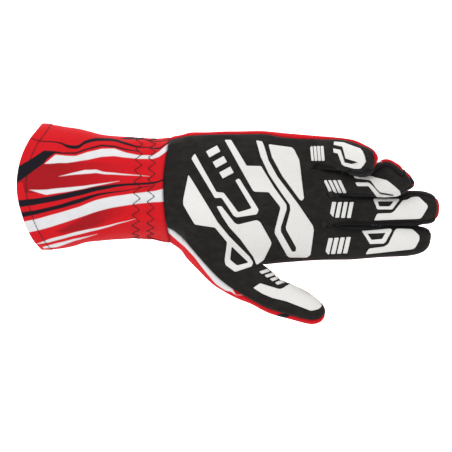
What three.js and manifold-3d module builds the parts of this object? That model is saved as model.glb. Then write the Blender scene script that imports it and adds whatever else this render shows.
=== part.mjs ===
// A right-hand karting glove, lying on its back with the palm up. Millimetres: +X runs to the
// fingertips, +Y to the little finger, +Z up from the palm. The form is one smooth skin, worked out
// from rings of points, cut along its seams into panels and given the thickness of the cloth. It is
// modelled from the middle of the wrist, and moved at the end to stand on the centre of its box.
import * as THREE from "three";
import { mergeVertices } from "three/addons/utils/BufferGeometryUtils.js";
import Module from "manifold-3d";

const wasm = await Module();
wasm.setup();

// Lengths along the glove
const cuffLength = 109;
const palmLength = 107.6;
const hemBow = 18;

// Widths and depths of the forearm, wrist and palm
const hemWidth = 92.5;
const wristWidth = 73;
const palmWidth = 96;
const hemDepth = 45;
const wristDepth = 37;
const palmDepth = 37;
const restSink = 1.4;

// Fingers and thumb
const fingerLength = 84;
const fingerWidth = 23;
const fingerDepth = 19.5;
const thumbLength = 103;
const thumbWidth = 23;
const thumbDepth = 21;

// Cloth, seams and grip pads
const clothWall = 1.6;
const hemWall = 2.6;
const seamGap = 0.3;
const padGap = 0.3;
const padRise = 0.7;

// Rings of the cuff, from the hem to the wrist. at: share of cuffLength from the wrist; flare: 0 at
// wristWidth, 1 at hemWidth; bow: share of hemBow by which the corners lie behind the middle;
// shift: centre, as a share of wristWidth; low and high: where the palm side's edges run.
const cuffRings = [
  { at: 1, flare: 1, bow: 1, shift: 0.03, low: -0.9, high: 0.9 },
  { at: 0.92, flare: 0.99, bow: 0.86, shift: 0.03, low: -0.9, high: 0.9 },
  { at: 0.7, flare: 0.76, bow: 0.45, shift: 0.025, low: -0.9, high: 0.9 },
  { at: 0.38, flare: 0.16, bow: 0.1, shift: 0.01, low: -0.88, high: 0.9 },
];

// Rings of the hand, from the wrist to the finger roots. at: share of palmLength; spread: 0 at
// wristWidth, 1 at palmWidth; depth: share of palmDepth; web: share of the knuckle line's curve. The
// thumb leaves the hand between the ring marked thumb and the second after it.
const handRings = [
  { at: 0, spread: 0.13, depth: 1.04, bow: 0.32, shift: -0.014, low: -0.66, high: 0.86, web: 0 },
  { at: 0.13, spread: 0.66, depth: 1.06, bow: 0.1, shift: -0.046, low: -0.73, high: 0.92, web: 0 },
  {
    at: 0.27,
    spread: 1.5,
    depth: 1.08,
    bow: 0,
    shift: -0.13,
    low: -0.83,
    high: 0.94,
    web: 0,
    thumb: true,
  },
  { at: 0.46, spread: 1.22, depth: 1.04, bow: 0, shift: -0.092, low: -0.9, high: 0.95, web: 0 },
  { at: 0.68, spread: 1.1, depth: 1, bow: 0, shift: -0.074, low: -0.93, high: 0.95, web: 0.05 },
  { at: 1, spread: 0.86, depth: 0.74, bow: 0, shift: -0.07, low: -0.93, high: 0.95, web: 1 },
];

// Nine columns run along the palm, two for each finger. across: place between the palm's edges;
// reach: how far the column's web lies past palmLength, as a share of it.
const columns = [
  { across: 0, reach: 0.02 },
  { across: 0.13, reach: 0.05 },
  { across: 0.27, reach: 0.08 },
  { across: 0.4, reach: 0.12 },
  { across: 0.52, reach: 0.12 },
  { across: 0.63, reach: 0.06 },
  { across: 0.74, reach: -0.01 },
  { across: 0.87, reach: -0.04 },
  { across: 1, reach: -0.06 },
];

// Soft mounds and hollows of the palm. at and across: place, as shares of palmLength and of half
// the palm's width; rise: share of palmDepth; along and wide: reach, as shares of palmLength.
const mounds = [
  { at: 0.3, across: -0.5, rise: 0.12, along: 0.3, wide: 0.3 },
  { at: 0.25, across: 0.6, rise: 0.07, along: 0.3, wide: 0.26 },
  { at: 0.62, across: 0.1, rise: -0.1, along: 0.24, wide: 0.3 },
  { at: 0.9, across: 0.05, rise: 0.05, along: 0.14, wide: 0.6 },
];

// Digits. length, wide and deep: shares of the named finger or thumb sizes; root: where the centre
// line starts, as shares of palmLength, palmWidth and palmDepth; heading and bend: angle from +X in
// plan and its change; pitch and curl: rise above level and its change; roll: how far the tip turns
// its palm side to the thumb. rings: at is the share of the length, wide and deep are shares of the
// digit's own width and depth.
const tipRings = [
  { at: 0.27, wide: 0.96, deep: 1 },
  { at: 0.56, wide: 1.01, deep: 0.97 },
  { at: 0.83, wide: 0.98, deep: 0.9 },
  { at: 0.96, wide: 0.62, deep: 0.56 },
];
const ringTipRings = [
  { at: 0.27, wide: 0.93, deep: 1 },
  { at: 0.56, wide: 1.08, deep: 1.06 },
  { at: 0.83, wide: 1.14, deep: 1.02 },
  { at: 0.96, wide: 0.66, deep: 0.62 },
];
const thumbRings = [
  { at: 0.44, wide: 1.27, deep: 1.24 },
  { at: 0.64, wide: 1.08, deep: 1.04 },
  { at: 0.84, wide: 0.97, deep: 0.93 },
  { at: 0.96, wide: 0.62, deep: 0.58 },
];
const finger = { wide: 1, deep: 1, heading: 1, bend: 0, roll: 0, rings: tipRings };
const digits = [
  { ...finger, name: "index", length: 0.96, root: [1.06, -0.415, 0.4], pitch: 1, curl: 10 },
  { ...finger, name: "middle", length: 0.99, root: [1.1, -0.17, 0.42], pitch: 3, curl: 14 },
  {
    ...finger,
    name: "ring",
    length: 0.9,
    wide: 0.98,
    root: [1.04, 0.04, 0.44],
    heading: 3,
    pitch: 14,
    curl: 18,
    roll: 24,
    rings: ringTipRings,
  },
  {
    ...finger,
    name: "little",
    length: 0.8,
    wide: 1.03,
    deep: 0.94,
    root: [0.95, 0.298, 0.44],
    heading: -7,
    pitch: 24,
    curl: 30,
    roll: 8,
  },
  {
    ...finger,
    name: "thumb",
    length: 1,
    root: [0.28, -0.415, 0.5],
    heading: -46.5,
    bend: 30,
    pitch: 2,
    curl: 6,
    rings: thumbRings,
  },
];

// The grip pads are drawn on a flat pattern sheet, u to the fingertips and v away from the little
// finger. wrist: the sheet's point over the wrist's middle; the others: how many of its units the
// named sizes measure there. A digit's pads keep their place from its root.
const sheet = {
  wrist: [166, 188.5],
  palmLength: 146.4,
  palmWidth: 130.6,
  fingerLength: 114.3,
  fingerWidth: 31.3,
  thumbLength: 140,
};

// on: the region that carries the pad, the palm or a digit; outline and hole: points on the sheet.
const pads = [
  {
    name: "grip_pad_heel",
    on: "palm",
    outline: [
      [188.5, 175], [192, 180], [217.5, 222], [229, 236], [249.5, 256.5], [253, 262.5],
      [251.5, 266.5], [235, 272], [225.5, 265], [224.5, 260], [227, 242], [215, 227.5],
      [195, 224.5], [183.5, 205], [183.5, 200],
    ],
    hole: [[231.5, 246], [248.5, 262.5], [237, 265.5], [230, 259.5]],
  },
  {
    name: "grip_pad_hook",
    on: "palm",
    outline: [
      [195, 154], [216.5, 192.5], [223.5, 193], [238, 212.5], [251.5, 208.5], [235, 180.5],
      [239, 178.5], [258.5, 210], [256.5, 214.5], [236.5, 217.5], [233.5, 216], [221.5, 198],
      [215, 198.5], [191.5, 159],
    ],
  },
  {
    name: "grip_pad_mound",
    on: "palm",
    outline: [
      [216.5, 206.5], [221.5, 206.5], [234.5, 223], [238, 224.5], [256.5, 220], [260, 222],
      [271, 241.5], [271, 244.5], [263.5, 260], [256.5, 265], [253, 256.5], [240.5, 239.5],
      [229, 227], [222, 216.5],
    ],
  },
  {
    name: "grip_pad_centre",
    on: "palm",
    outline: [
      [224.5, 140.5], [231, 140.5], [246.5, 166], [260.8, 166.3], [274, 188], [286, 204.7],
      [286.3, 209], [280.5, 227], [280.5, 231.5], [292, 251.5], [295.5, 251.5], [296, 247.5],
      [286, 230], [285.5, 227], [290, 210], [289.5, 205], [279.7, 191.2], [268.4, 174],
      [260.4, 157], [256, 141], [262, 142], [263.5, 145.5], [268.1, 160.5], [277, 176.5],
      [298, 204.5], [312.5, 225.5], [313.5, 230], [310.5, 254.5], [307, 257], [289.5, 257],
      [287, 255.5], [274.5, 233.5], [274.5, 230], [280, 208.5], [279.5, 206.5], [268.5, 192.5],
      [254.5, 192], [252.5, 190.5],
    ],
  },
  {
    name: "grip_pad_edge",
    on: "palm",
    outline: [
      [268.3, 144.7], [291.5, 147.7], [294, 150], [299, 160], [303.7, 198.5], [301.5, 201],
      [299.5, 200], [282, 176.2], [271.7, 157.4],
    ],
  },
  {
    name: "grip_tip_little",
    on: "little",
    outline: [
      [334, 142.5], [343.5, 143.5], [359.5, 150], [362.5, 154.5], [364.5, 163.5], [358.5, 170.5],
      [344, 166.5], [341.5, 164.5], [337.5, 154], [333.5, 153], [333, 149], [340, 150.5],
      [344, 163], [356.5, 166], [357, 163], [345, 159], [342, 147.5], [333.5, 145.5],
    ],
  },
  {
    name: "grip_tip_ring",
    on: "ring",
    outline: [
      [353.5, 174.5], [361, 177.5], [369.5, 176.5], [385.5, 180.5], [389, 183], [398.5, 191],
      [399.5, 194], [398, 198.5], [382, 197.5], [376.5, 196.5], [368, 186], [357, 186],
      [355, 182.5], [368, 182.5], [371, 185], [379.5, 194], [392, 196], [393, 194], [379.5, 192],
      [375, 187.5], [370, 180.5], [354, 178.5],
    ],
  },
  {
    name: "grip_loop_middle",
    on: "middle",
    outline: [[373, 199], [399.5, 199.5], [392, 209.5], [377, 209.5]],
    hole: [[377.5, 201.5], [393.5, 201.5], [389.5, 206.5], [379, 206.5]],
  },
  {
    name: "grip_tip_middle",
    on: "middle",
    outline: [
      [407, 200], [411, 197.5], [418, 197], [426.5, 205], [427, 207.5], [421, 217.5],
      [418.5, 218.5], [374, 220], [377, 213.5], [391, 213], [394, 211], [402.5, 200.5],
    ],
  },
  {
    name: "grip_loop_index",
    on: "index",
    outline: [[362, 231.5], [390.5, 229], [392, 230.5], [385.5, 242], [383.5, 243.5], [370, 244]],
    hole: [[367.5, 234], [385.5, 233], [382, 239], [371.5, 240]],
  },
  {
    name: "grip_tip_index",
    on: "index",
    outline: [
      [397, 228.5], [410, 227.5], [419, 235.5], [419, 240], [415, 247.5], [412, 249],
      [365.5, 254], [369, 248.5], [384, 246.5], [388, 244], [394.5, 231],
    ],
  },
  {
    name: "grip_tip_thumb",
    on: "thumb",
    outline: [
      [253, 287.5], [260, 283], [278.5, 289], [282, 288.5], [289.5, 284], [300, 288.5],
      [309.5, 293.5], [320, 302], [321, 306.5], [317.5, 309], [310.5, 310.5], [306.5, 309],
      [286, 301], [272, 297.5], [262.5, 293.5],
    ],
  },
];

// Rows of slanted grip bars. at: the first bar's corner; run and wide: its two sides; step: from
// one bar to the next.
const barRows = [
  { on: "palm", at: [206, 152], run: [11, -6], wide: [3.4, 6], step: [6.6, 10.4], count: 3 },
  { on: "little", at: [310.3, 146.5], run: [1.2, 14.5], wide: [2.6, -0.2], step: [3.5, 0], count: 4 },
  { on: "ring", at: [323.2, 180.2], run: [5.8, 12.2], wide: [3.3, 0], step: [4.7, 0], count: 4 },
  { on: "middle", at: [332, 202], run: [-3, 15.5], wide: [4, 0], step: [5.9, 0.1], count: 4 },
  { on: "index", at: [328.5, 238], run: [-3.5, 16], wide: [4.4, 0], step: [6, -0.3], count: 4 },
  { on: "thumb", at: [259, 271.7], run: [8, -2.6], wide: [2.7, 2.4], step: [5.2, 3.6], count: 4 },
];

// How the sections are rounded. seamHeight: share of the depth at which the sides lie; backSpan:
// how far round the back its columns reach; the rest are powers, from 2 for an ellipse to boxier.
const seamHeight = 0.46;
const backSpan = 0.92;
const palmPower = 2.5;
const backPower = 3;
const reliefPower = 2;
const digitPower = 0.86;

// How finely a digit's bend is followed, and how often the skin is drawn towards its points.
const bendSteps = 24;
const fittingPasses = 12;

const lerp = THREE.MathUtils.lerp;
const radians = THREE.MathUtils.degToRad;

// How full a section is at t, from -1 at one side to 1 at the other; a higher power is boxier.
function fullness(t, power) {
  return Math.pow(Math.max(0, 1 - Math.pow(Math.abs(t), power)), 1 / power);
}

function moundRise(x, y) {
  return mounds.reduce((sum, mound) => {
    const along = (x / palmLength - mound.at) / mound.along;
    const wide = (y / (palmWidth / 2) - mound.across) / mound.wide;
    return sum + mound.rise * palmDepth * Math.exp(-(along * along) - wide * wide);
  }, 0);
}

// The sizes of one ring of the cuff or hand, in millimetres.
function cuffSizes(ring) {
  return {
    ...ring,
    x: -ring.at * cuffLength,
    half: lerp(wristWidth, hemWidth, ring.flare) / 2,
    depth: lerp(wristDepth, hemDepth, ring.flare),
    y: ring.shift * wristWidth,
    web: 0,
    relief: 0,
  };
}

function handSizes(ring) {
  return {
    ...ring,
    x: ring.at * palmLength,
    half: lerp(wristWidth, palmWidth, ring.spread) / 2,
    depth: ring.depth * palmDepth,
    y: ring.shift * palmWidth,
    relief: 1,
  };
}

// Twenty points: the thumb side, nine over the palm, the little finger's side, nine under the back.
function bodyRing(ring) {
  const middle = seamHeight * ring.depth;
  const point = (t, reach, up) => {
    const x = ring.x + ring.bow * hemBow * t * t + ring.web * reach * palmLength;
    const y = ring.y + t * ring.half;
    if (up > 0) {
      const top = middle + (ring.depth - middle) * fullness(t, palmPower);
      const relief = ring.relief * moundRise(x, y) * fullness(t, reliefPower);
      return new THREE.Vector3(x, y, top + relief);
    }
    const drop = up < 0 ? (middle + restSink) * fullness(t, backPower) : 0;
    return new THREE.Vector3(x, y, middle - drop);
  };
  const over = columns.map((c) => point(lerp(ring.low, ring.high, c.across), c.reach, 1));
  const under = columns.map((c) => point(lerp(-backSpan, backSpan, c.across), c.reach, -1));
  const first = columns[0].reach;
  const last = columns[columns.length - 1].reach;
  return [point(-1, first, 0), ...over, point(1, last, 0), ...under.reverse()];
}

// Where a digit's centre line is at a share of its length, and which way its frame faces.
function digitFrame(digit, share) {
  const place = new THREE.Vector3(
    digit.root[0] * palmLength,
    digit.root[1] * palmWidth,
    digit.root[2] * palmDepth,
  );
  const length = digit.length * (digit.name === "thumb" ? thumbLength : fingerLength);
  const forward = new THREE.Vector3();
  const turn = (part) => {
    const heading = radians(digit.heading + digit.bend * part);
    const pitch = radians(digit.pitch + digit.curl * part);
    const level = Math.cos(pitch);
    forward.set(level * Math.cos(heading), level * Math.sin(heading), Math.sin(pitch));
  };
  for (let i = 0; i < bendSteps; i++) {
    turn((share * (i + 0.5)) / bendSteps);
    place.addScaledVector(forward, (share * length) / bendSteps);
  }
  turn(share);
  const side = new THREE.Vector3(-forward.y, forward.x, 0).normalize();
  side.applyAxisAngle(forward, radians(digit.roll * share));
  const up = new THREE.Vector3().crossVectors(forward, side);
  return { place, forward, side, up };
}

function digitHalves(digit) {
  const thumb = digit.name === "thumb";
  return {
    half: (digit.wide * (thumb ? thumbWidth : fingerWidth)) / 2,
    rise: (digit.deep * (thumb ? thumbDepth : fingerDepth)) / 2,
  };
}

// Eight points round a digit, from the thumb's side over the palm side and back underneath.
function digitRing(digit, ring) {
  const frame = digitFrame(digit, ring.at);
  const { half, rise } = digitHalves(digit);
  return [180, 135, 90, 45, 0, -45, -90, -135].map((degrees) => {
    const angle = radians(degrees);
    const boxy = (value) => Math.sign(value) * Math.pow(Math.abs(value), digitPower);
    return frame.place
      .clone()
      .addScaledVector(frame.side, boxy(Math.cos(angle)) * half * ring.wide)
      .addScaledVector(frame.up, boxy(Math.sin(angle)) * rise * ring.deep);
  });
}

// The first of the three rings that the thumb's root spans, counted from the hem.
const thumbStart = cuffRings.length + handRings.findIndex((ring) => ring.thumb);

// The coarse skin: points that the finished skin passes through, and four-sided faces, each with
// its panel and the region of the hand that it covers.
const points = [];
const faces = [];

function addPoints(list) {
  return list.map((p) => points.push(p) - 1);
}

function addFace(corners, panel, region, hem = false) {
  faces.push({ corners, panel, region, hem });
}

function bodyPanel(slot, ring) {
  const over = slot >= 1 && slot <= 8;
  if (ring < cuffRings.length) return slot >= 10 ? "cuff_back_side" : "cuff_palm_side";
  if (over) return "palm_panel";
  return slot === 0 && ring >= thumbStart + 2 ? "palm_panel" : "back_panel";
}

function buildBody() {
  const sizes = [...cuffRings.map(cuffSizes), ...handRings.map(handSizes)];
  const rings = sizes.map((size) => addPoints(bodyRing(size)));
  const slots = rings[0].length;
  for (let r = 0; r + 1 < rings.length; r++) {
    for (let slot = 0; slot < slots; slot++) {
      const atThumb = r >= thumbStart && r < thumbStart + 2;
      if (atThumb && (slot === 0 || slot === slots - 1)) continue;
      const next = (slot + 1) % slots;
      const corners = [rings[r][slot], rings[r + 1][slot], rings[r + 1][next], rings[r][next]];
      const region = r < cuffRings.length ? "cuff" : "palm";
      addFace(corners, bodyPanel(slot, r), region, r === 0);
    }
  }
  return rings;
}

// Which panel a digit's strip belongs to; strips run as the ring's points do.
function digitPanel(order, strip) {
  const onTop = strip === 1 || strip === 2;
  const below = strip === 5 || strip === 6;
  if (onTop) return "palm_panel";
  if (below) return "back_panel";
  const name = digits[order].name;
  if (name === "thumb") return strip === 3 ? "palm_panel" : "back_panel";
  const towardThumb = strip === 0 || strip === 7;
  const neighbour = digits[towardThumb ? order - 1 : order + 1];
  if (name === "index" && towardThumb) return strip === 0 ? "palm_panel" : "back_panel";
  if (name === "little" && !towardThumb) return "back_panel";
  const pair = towardThumb ? [neighbour.name, name] : [name, neighbour.name];
  return "fourchette_" + pair.join("_");
}

function buildDigit(order, root) {
  const digit = digits[order];
  let last = root;
  for (const ring of digit.rings) {
    const next = addPoints(digitRing(digit, ring));
    for (let strip = 0; strip < 8; strip++) {
      const beside = (strip + 1) % 8;
      const corners = [last[strip], next[strip], next[beside], last[beside]];
      addFace(corners, digitPanel(order, strip), digit.name);
    }
    last = next;
  }
  const [tip] = addPoints([digitFrame(digit, 1).place]);
  for (const [start, panel] of [[0, 1], [2, 2], [4, 5], [6, 6]]) {
    const corners = [last[start], tip, last[(start + 2) % 8], last[start + 1]];
    addFace(corners, digitPanel(order, panel), digit.name);
  }
}

function buildSkin() {
  const rings = buildBody();
  const web = rings[rings.length - 1];
  const over = (column) => web[1 + column];
  const under = (column) => web[19 - column];
  // The middle of each web: a side of the hand, or a point halfway down between two fingers.
  const between = [0, 1, 2, 3, 4].map((gap) => {
    if (gap === 0) return web[0];
    if (gap === 4) return web[10];
    const middle = points[over(2 * gap)].clone().lerp(points[under(2 * gap)], 0.5);
    return addPoints([middle])[0];
  });
  for (let order = 0; order < 4; order++) {
    const c = 2 * order;
    const root = [
      between[order], over(c), over(c + 1), over(c + 2),
      between[order + 1], under(c + 2), under(c + 1), under(c),
    ];
    buildDigit(order, root);
  }
  const [a, b, c] = [0, 1, 2].map((step) => rings[thumbStart + step]);
  buildDigit(4, [a[0], a[1], b[1], c[1], c[0], c[19], b[19], a[19]]);
}

// One round of Catmull-Clark smoothing: every face becomes four, and keeps its panel and region.
function subdivide(skin) {
  const made = skin.points.map(() => null);
  const add = (p) => made.push(p) - 1;
  const edges = new Map();
  const around = skin.points.map(() => ({ faces: [], edges: [] }));
  const edgeOf = (a, b) => {
    const key = Math.min(a, b) + "_" + Math.max(a, b);
    if (!edges.has(key)) {
      const edge = { a, b, faces: [] };
      edges.set(key, edge);
      around[a].edges.push(edge);
      around[b].edges.push(edge);
    }
    return edges.get(key);
  };
  const mean = (list) => {
    const sum = new THREE.Vector3();
    list.forEach((p) => sum.add(p));
    return sum.divideScalar(list.length);
  };
  const centres = skin.faces.map((face) => {
    const centre = add(mean(face.corners.map((i) => skin.points[i])));
    face.corners.forEach((corner, i) => {
      edgeOf(corner, face.corners[(i + 1) % 4]).faces.push(centre);
      around[corner].faces.push(centre);
    });
    return centre;
  });
  for (const edge of edges.values()) {
    const ends = [skin.points[edge.a], skin.points[edge.b]];
    const open = edge.faces.length === 1;
    edge.middle = mean(ends);
    edge.point = add(open ? edge.middle : mean([...ends, ...edge.faces.map((i) => made[i])]));
  }
  skin.points.forEach((p, i) => {
    const rim = around[i].edges.filter((edge) => edge.faces.length === 1);
    if (rim.length) {
      made[i] = mean(rim.map((edge) => edge.middle)).lerp(p, 0.5);
      return;
    }
    const count = around[i].edges.length;
    const centre = mean(around[i].faces.map((k) => made[k]));
    const middles = mean(around[i].edges.map((edge) => edge.middle));
    made[i] = centre.addScaledVector(middles, 2).addScaledVector(p, count - 3).divideScalar(count);
  });
  const split = skin.faces.flatMap((face, f) =>
    face.corners.map((corner, i) => {
      const ahead = edgeOf(corner, face.corners[(i + 1) % 4]).point;
      const behind = edgeOf(face.corners[(i + 3) % 4], corner).point;
      return { ...face, corners: [corner, ahead, centres[f], behind] };
    }),
  );
  return { points: made, faces: split };
}

// Smoothing pulls the skin inwards, so the coarse points are moved out until it passes through them.
function smoothThrough(targets, coarse) {
  let cage = targets.map((p) => p.clone());
  for (let pass = 0; pass < fittingPasses; pass++) {
    const smooth = subdivide({ points: cage, faces: coarse }).points;
    cage = cage.map((p, i) => p.clone().add(targets[i]).sub(smooth[i]));
  }
  const skin = subdivide({ points: cage, faces: coarse });
  // The back is pressed flat where the glove rests.
  skin.points.forEach((p) => (p.z = Math.max(p.z, 0)));
  return skin;
}

function skinNormals(skin) {
  const normals = skin.points.map(() => new THREE.Vector3());
  for (const { corners } of skin.faces) {
    const [a, b, c, d] = corners.map((i) => skin.points[i]);
    const area = new THREE.Vector3().crossVectors(c.clone().sub(a), d.clone().sub(b));
    corners.forEach((i) => normals[i].add(area));
  }
  return normals.map((n) => n.normalize());
}

// A closed solid from some of the skin's faces, between two distances out from the skin. Its
// border is drawn in by half a seam's gap, so that panels meet without touching.
function thicken(chosen, inner, outer, inset) {
  const used = [...new Set(chosen.flatMap((face) => face.corners))];
  const slot = new Map(used.map((i, order) => [i, order]));
  const rim = new Map();
  for (const { corners } of chosen) {
    corners.forEach((from, i) => {
      const to = corners[(i + 1) % 4];
      if (rim.has(to + "_" + from)) rim.delete(to + "_" + from);
      else rim.set(from + "_" + to, [from, to]);
    });
  }
  const border = new Set([...rim.values()].flat());
  const drawn = new Map(used.map((i) => [i, skin.points[i].clone()]));
  for (const i of border) {
    const here = skin.points[i];
    const pull = new THREE.Vector3();
    for (const { corners } of chosen) {
      if (!corners.includes(i)) continue;
      const opposite = skin.points[corners[(corners.indexOf(i) + 2) % 4]];
      pull.add(opposite.clone().sub(here).normalize());
    }
    pull.addScaledVector(normals[i], -pull.dot(normals[i]));
    if (pull.length() > 0) drawn.get(i).addScaledVector(pull.normalize(), inset);
    drawn.get(i).z = Math.max(0, drawn.get(i).z);
  }
  const layer = (distance) =>
    used.flatMap((i) => {
      const away = typeof distance === "function" ? distance(i) : distance;
      return drawn.get(i).clone().addScaledVector(normals[i], away).toArray();
    });
  const count = used.length;
  const triangles = [];
  const quad = (a, b, c, d) => triangles.push(a, b, c, a, c, d);
  for (const { corners } of chosen) {
    const [a, b, c, d] = corners.map((i) => slot.get(i));
    quad(a + count, b + count, c + count, d + count);
    quad(d, c, b, a);
  }
  for (const [from, to] of rim.values()) {
    const [a, b] = [slot.get(from), slot.get(to)];
    quad(a, b, b + count, a + count);
  }
  return new wasm.Manifold(
    new wasm.Mesh({
      numProp: 3,
      vertProperties: new Float32Array([...layer(inner), ...layer(outer)]),
      triVerts: new Uint32Array(triangles),
    }),
  );
}

buildSkin();
const skin = smoothThrough(points, faces);
const normals = skinNormals(skin);
const hemPoints = new Set(skin.faces.filter((face) => face.hem).flatMap((face) => face.corners));

function largest(solid) {
  return solid.decompose().reduce((best, part) => (part.volume() > best.volume() ? part : best));
}

const glove = new THREE.Group();

function addNode(name, solid, material) {
  const mesh = solid.getMesh();
  const geometry = new THREE.BufferGeometry();
  geometry.setAttribute("position", new THREE.BufferAttribute(mesh.vertProperties, 3));
  geometry.setIndex(new THREE.BufferAttribute(mesh.triVerts, 1));
  geometry.computeVertexNormals();
  const node = new THREE.Mesh(geometry, material);
  node.name = name;
  glove.add(node);
}

const redCloth = new THREE.MeshStandardMaterial({ color: 0xd51f26, roughness: 0.85, metalness: 0 });
const blackSuede = new THREE.MeshStandardMaterial({ color: 0x2b2a29, roughness: 0.9, metalness: 0 });
const whiteSilicone = new THREE.MeshStandardMaterial({ color: 0xe9e7e4, roughness: 0.5, metalness: 0 });

// Panels meet along seams. Where the skin turns sharply, as between the fingers, a panel also
// gives way to the ones before it.
const panelNames = [...new Set(skin.faces.map((face) => face.panel))];
const taken = [];
for (const name of panelNames) {
  const chosen = skin.faces.filter((face) => face.panel === name);
  const wall = (i) => -(hemPoints.has(i) ? hemWall : clothWall);
  const swollen = (i) => wall(i) - seamGap / 2;
  const red = name.startsWith("cuff") || name === "back_panel";
  const solid = taken.reduce(
    (rest, other) => rest.subtract(other),
    thicken(chosen, wall, 0, seamGap / 2),
  );
  taken.push(thicken(chosen, swollen, seamGap / 2, 0).add(solid));
  addNode(name, largest(solid), red ? redCloth : blackSuede);
}

// A point of the pattern sheet, where it lies on the glove seen from above.
function fromSheet(on, [u, v]) {
  const across = (v - sheet.wrist[1]) / sheet.palmWidth;
  const along = (u - sheet.wrist[0]) / sheet.palmLength;
  const digit = digits.find(({ name }) => name === on);
  if (!digit) return new THREE.Vector2(along * palmLength, -across * palmWidth);
  const rootU = sheet.wrist[0] + digit.root[0] * sheet.palmLength;
  const rootV = sheet.wrist[1] - digit.root[1] * sheet.palmWidth;
  const thumb = on === "thumb";
  const lengthwise = thumb ? thumbLength / sheet.thumbLength : fingerLength / sheet.fingerLength;
  const crosswise = thumb ? lengthwise : fingerWidth / sheet.fingerWidth;
  return new THREE.Vector2(
    digit.root[0] * palmLength + (u - rootU) * lengthwise,
    digit.root[1] * palmWidth - (v - rootV) * crosswise,
  );
}

// An upright column over an outline, as tall as anything the glove reaches.
function column(on, outline) {
  const shape = new THREE.Shape(outline.map((p) => fromSheet(on, p)));
  const extruded = new THREE.ExtrudeGeometry(shape, { depth: 3 * palmDepth, bevelEnabled: false });
  extruded.deleteAttribute("normal");
  extruded.deleteAttribute("uv");
  const merged = mergeVertices(extruded);
  return new wasm.Manifold(
    new wasm.Mesh({
      numProp: 3,
      vertProperties: merged.attributes.position.array,
      triVerts: new Uint32Array(merged.index.array),
    }),
  );
}

// The thin layer over one region of the palm panel, in which its pads lie.
const layers = new Map();
function padLayer(on) {
  if (!layers.has(on)) {
    const under = on === "palm" ? ["palm", "thumb"] : ["palm", on];
    const chosen = skin.faces.filter(
      ({ panel, region }) => panel === "palm_panel" && under.includes(region),
    );
    layers.set(on, thicken(chosen, padGap, padGap + padRise, padGap));
  }
  return layers.get(on);
}

function addPad({ name, on, outline, hole }) {
  const whole = padLayer(on).intersect(column(on, outline));
  const solid = hole ? whole.subtract(column(on, hole)) : whole;
  addNode(name, largest(taken.reduce((rest, other) => rest.subtract(other), solid)), whiteSilicone);
}

pads.forEach(addPad);
for (const row of barRows) {
  for (let i = 0; i < row.count; i++) {
    const at = row.at.map((value, axis) => value + i * row.step[axis]);
    const corner = (run, wide) => at.map((v, k) => v + run * row.run[k] + wide * row.wide[k]);
    const outline = [corner(0, 0), corner(0, 1), corner(1, 1), corner(1, 0)];
    addPad({ name: `grip_bar_${row.on}_${i + 1}`, on: row.on, outline });
  }
}

const box = new THREE.Box3().setFromObject(glove);
const centre = box.getCenter(new THREE.Vector3());
glove.position.set(-centre.x, -centre.y, -box.min.z);

export default glove;
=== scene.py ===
import math

import bmesh
import bpy
from mathutils import Matrix, Vector, noise
from mathutils.bvhtree import BVHTree
from mathutils.geometry import intersect_point_line
from mathutils.interpolate import poly_3d_calc
from mathutils.kdtree import KDTree


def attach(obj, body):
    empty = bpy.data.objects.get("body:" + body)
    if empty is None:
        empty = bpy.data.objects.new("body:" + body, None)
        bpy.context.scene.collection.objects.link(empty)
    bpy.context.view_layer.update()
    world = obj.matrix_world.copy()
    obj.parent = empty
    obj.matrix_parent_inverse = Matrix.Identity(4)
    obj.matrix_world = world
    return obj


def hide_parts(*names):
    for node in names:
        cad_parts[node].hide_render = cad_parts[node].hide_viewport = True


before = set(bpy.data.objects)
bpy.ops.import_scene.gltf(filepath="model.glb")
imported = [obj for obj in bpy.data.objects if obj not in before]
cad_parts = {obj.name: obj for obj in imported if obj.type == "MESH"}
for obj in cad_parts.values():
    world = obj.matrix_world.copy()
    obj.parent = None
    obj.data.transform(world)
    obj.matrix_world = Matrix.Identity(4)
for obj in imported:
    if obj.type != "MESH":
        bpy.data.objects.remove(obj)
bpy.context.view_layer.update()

mm = 0.001

# The pattern sheet lies under the glove seen from above: u to the fingertips, v to the thumb
sheet = {
    "unit": 0.735 * mm,
    "centre": (228.1, 222.9),
}


def fromSheet(u, v):
    return (
        (u - sheet["centre"][0]) * sheet["unit"],
        (sheet["centre"][1] - v) * sheet["unit"],
    )


def flatPoint(u, v):
    return Vector((*fromSheet(u, v), 0))


def falloff(distance, reach):
    return math.exp(-((distance / reach) ** 2))


def smoothStep(low, high, value):
    t = min(1.0, max(0.0, (value - low) / (high - low)))
    return t * t * (3 - 2 * t)


def interpolate(table, at):
    # a table of (place, value) rows, read between its rows
    if at <= table[0][0]:
        return table[0][1]
    for (low, first), (high, last) in zip(table, table[1:]):
        if at <= high:
            return first + (last - first) * (at - low) / (high - low)
    return table[-1][1]


def treeOf(points):
    tree = KDTree(len(points))
    for index, point in enumerate(points):
        tree.insert(point, index)
    tree.balance()
    return tree


def drop(shape, things, kind="FACES"):
    bmesh.ops.delete(shape, geom=list(things), context=kind)


def addToScene(thing):
    bpy.context.scene.collection.objects.link(thing)
    return thing


def meshPiece(name, shape, materials, smooth=True):
    mesh = bpy.data.meshes.new(name)
    shape.to_mesh(mesh)
    shape.free()
    for polygon in mesh.polygons:
        polygon.use_smooth = smooth
    for material in materials:
        mesh.materials.append(material)
    return addToScene(bpy.data.objects.new(name, mesh))


# Camera, straight above the glove

cameraValues = {
    "over": (226, 226),  # the sheet's point in the middle of the picture
    "height": 2.5,
    "picture": 452,  # sheet units across the picture
    "focusHeight": 25 * mm,
    "sensor": 36,
}


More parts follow.
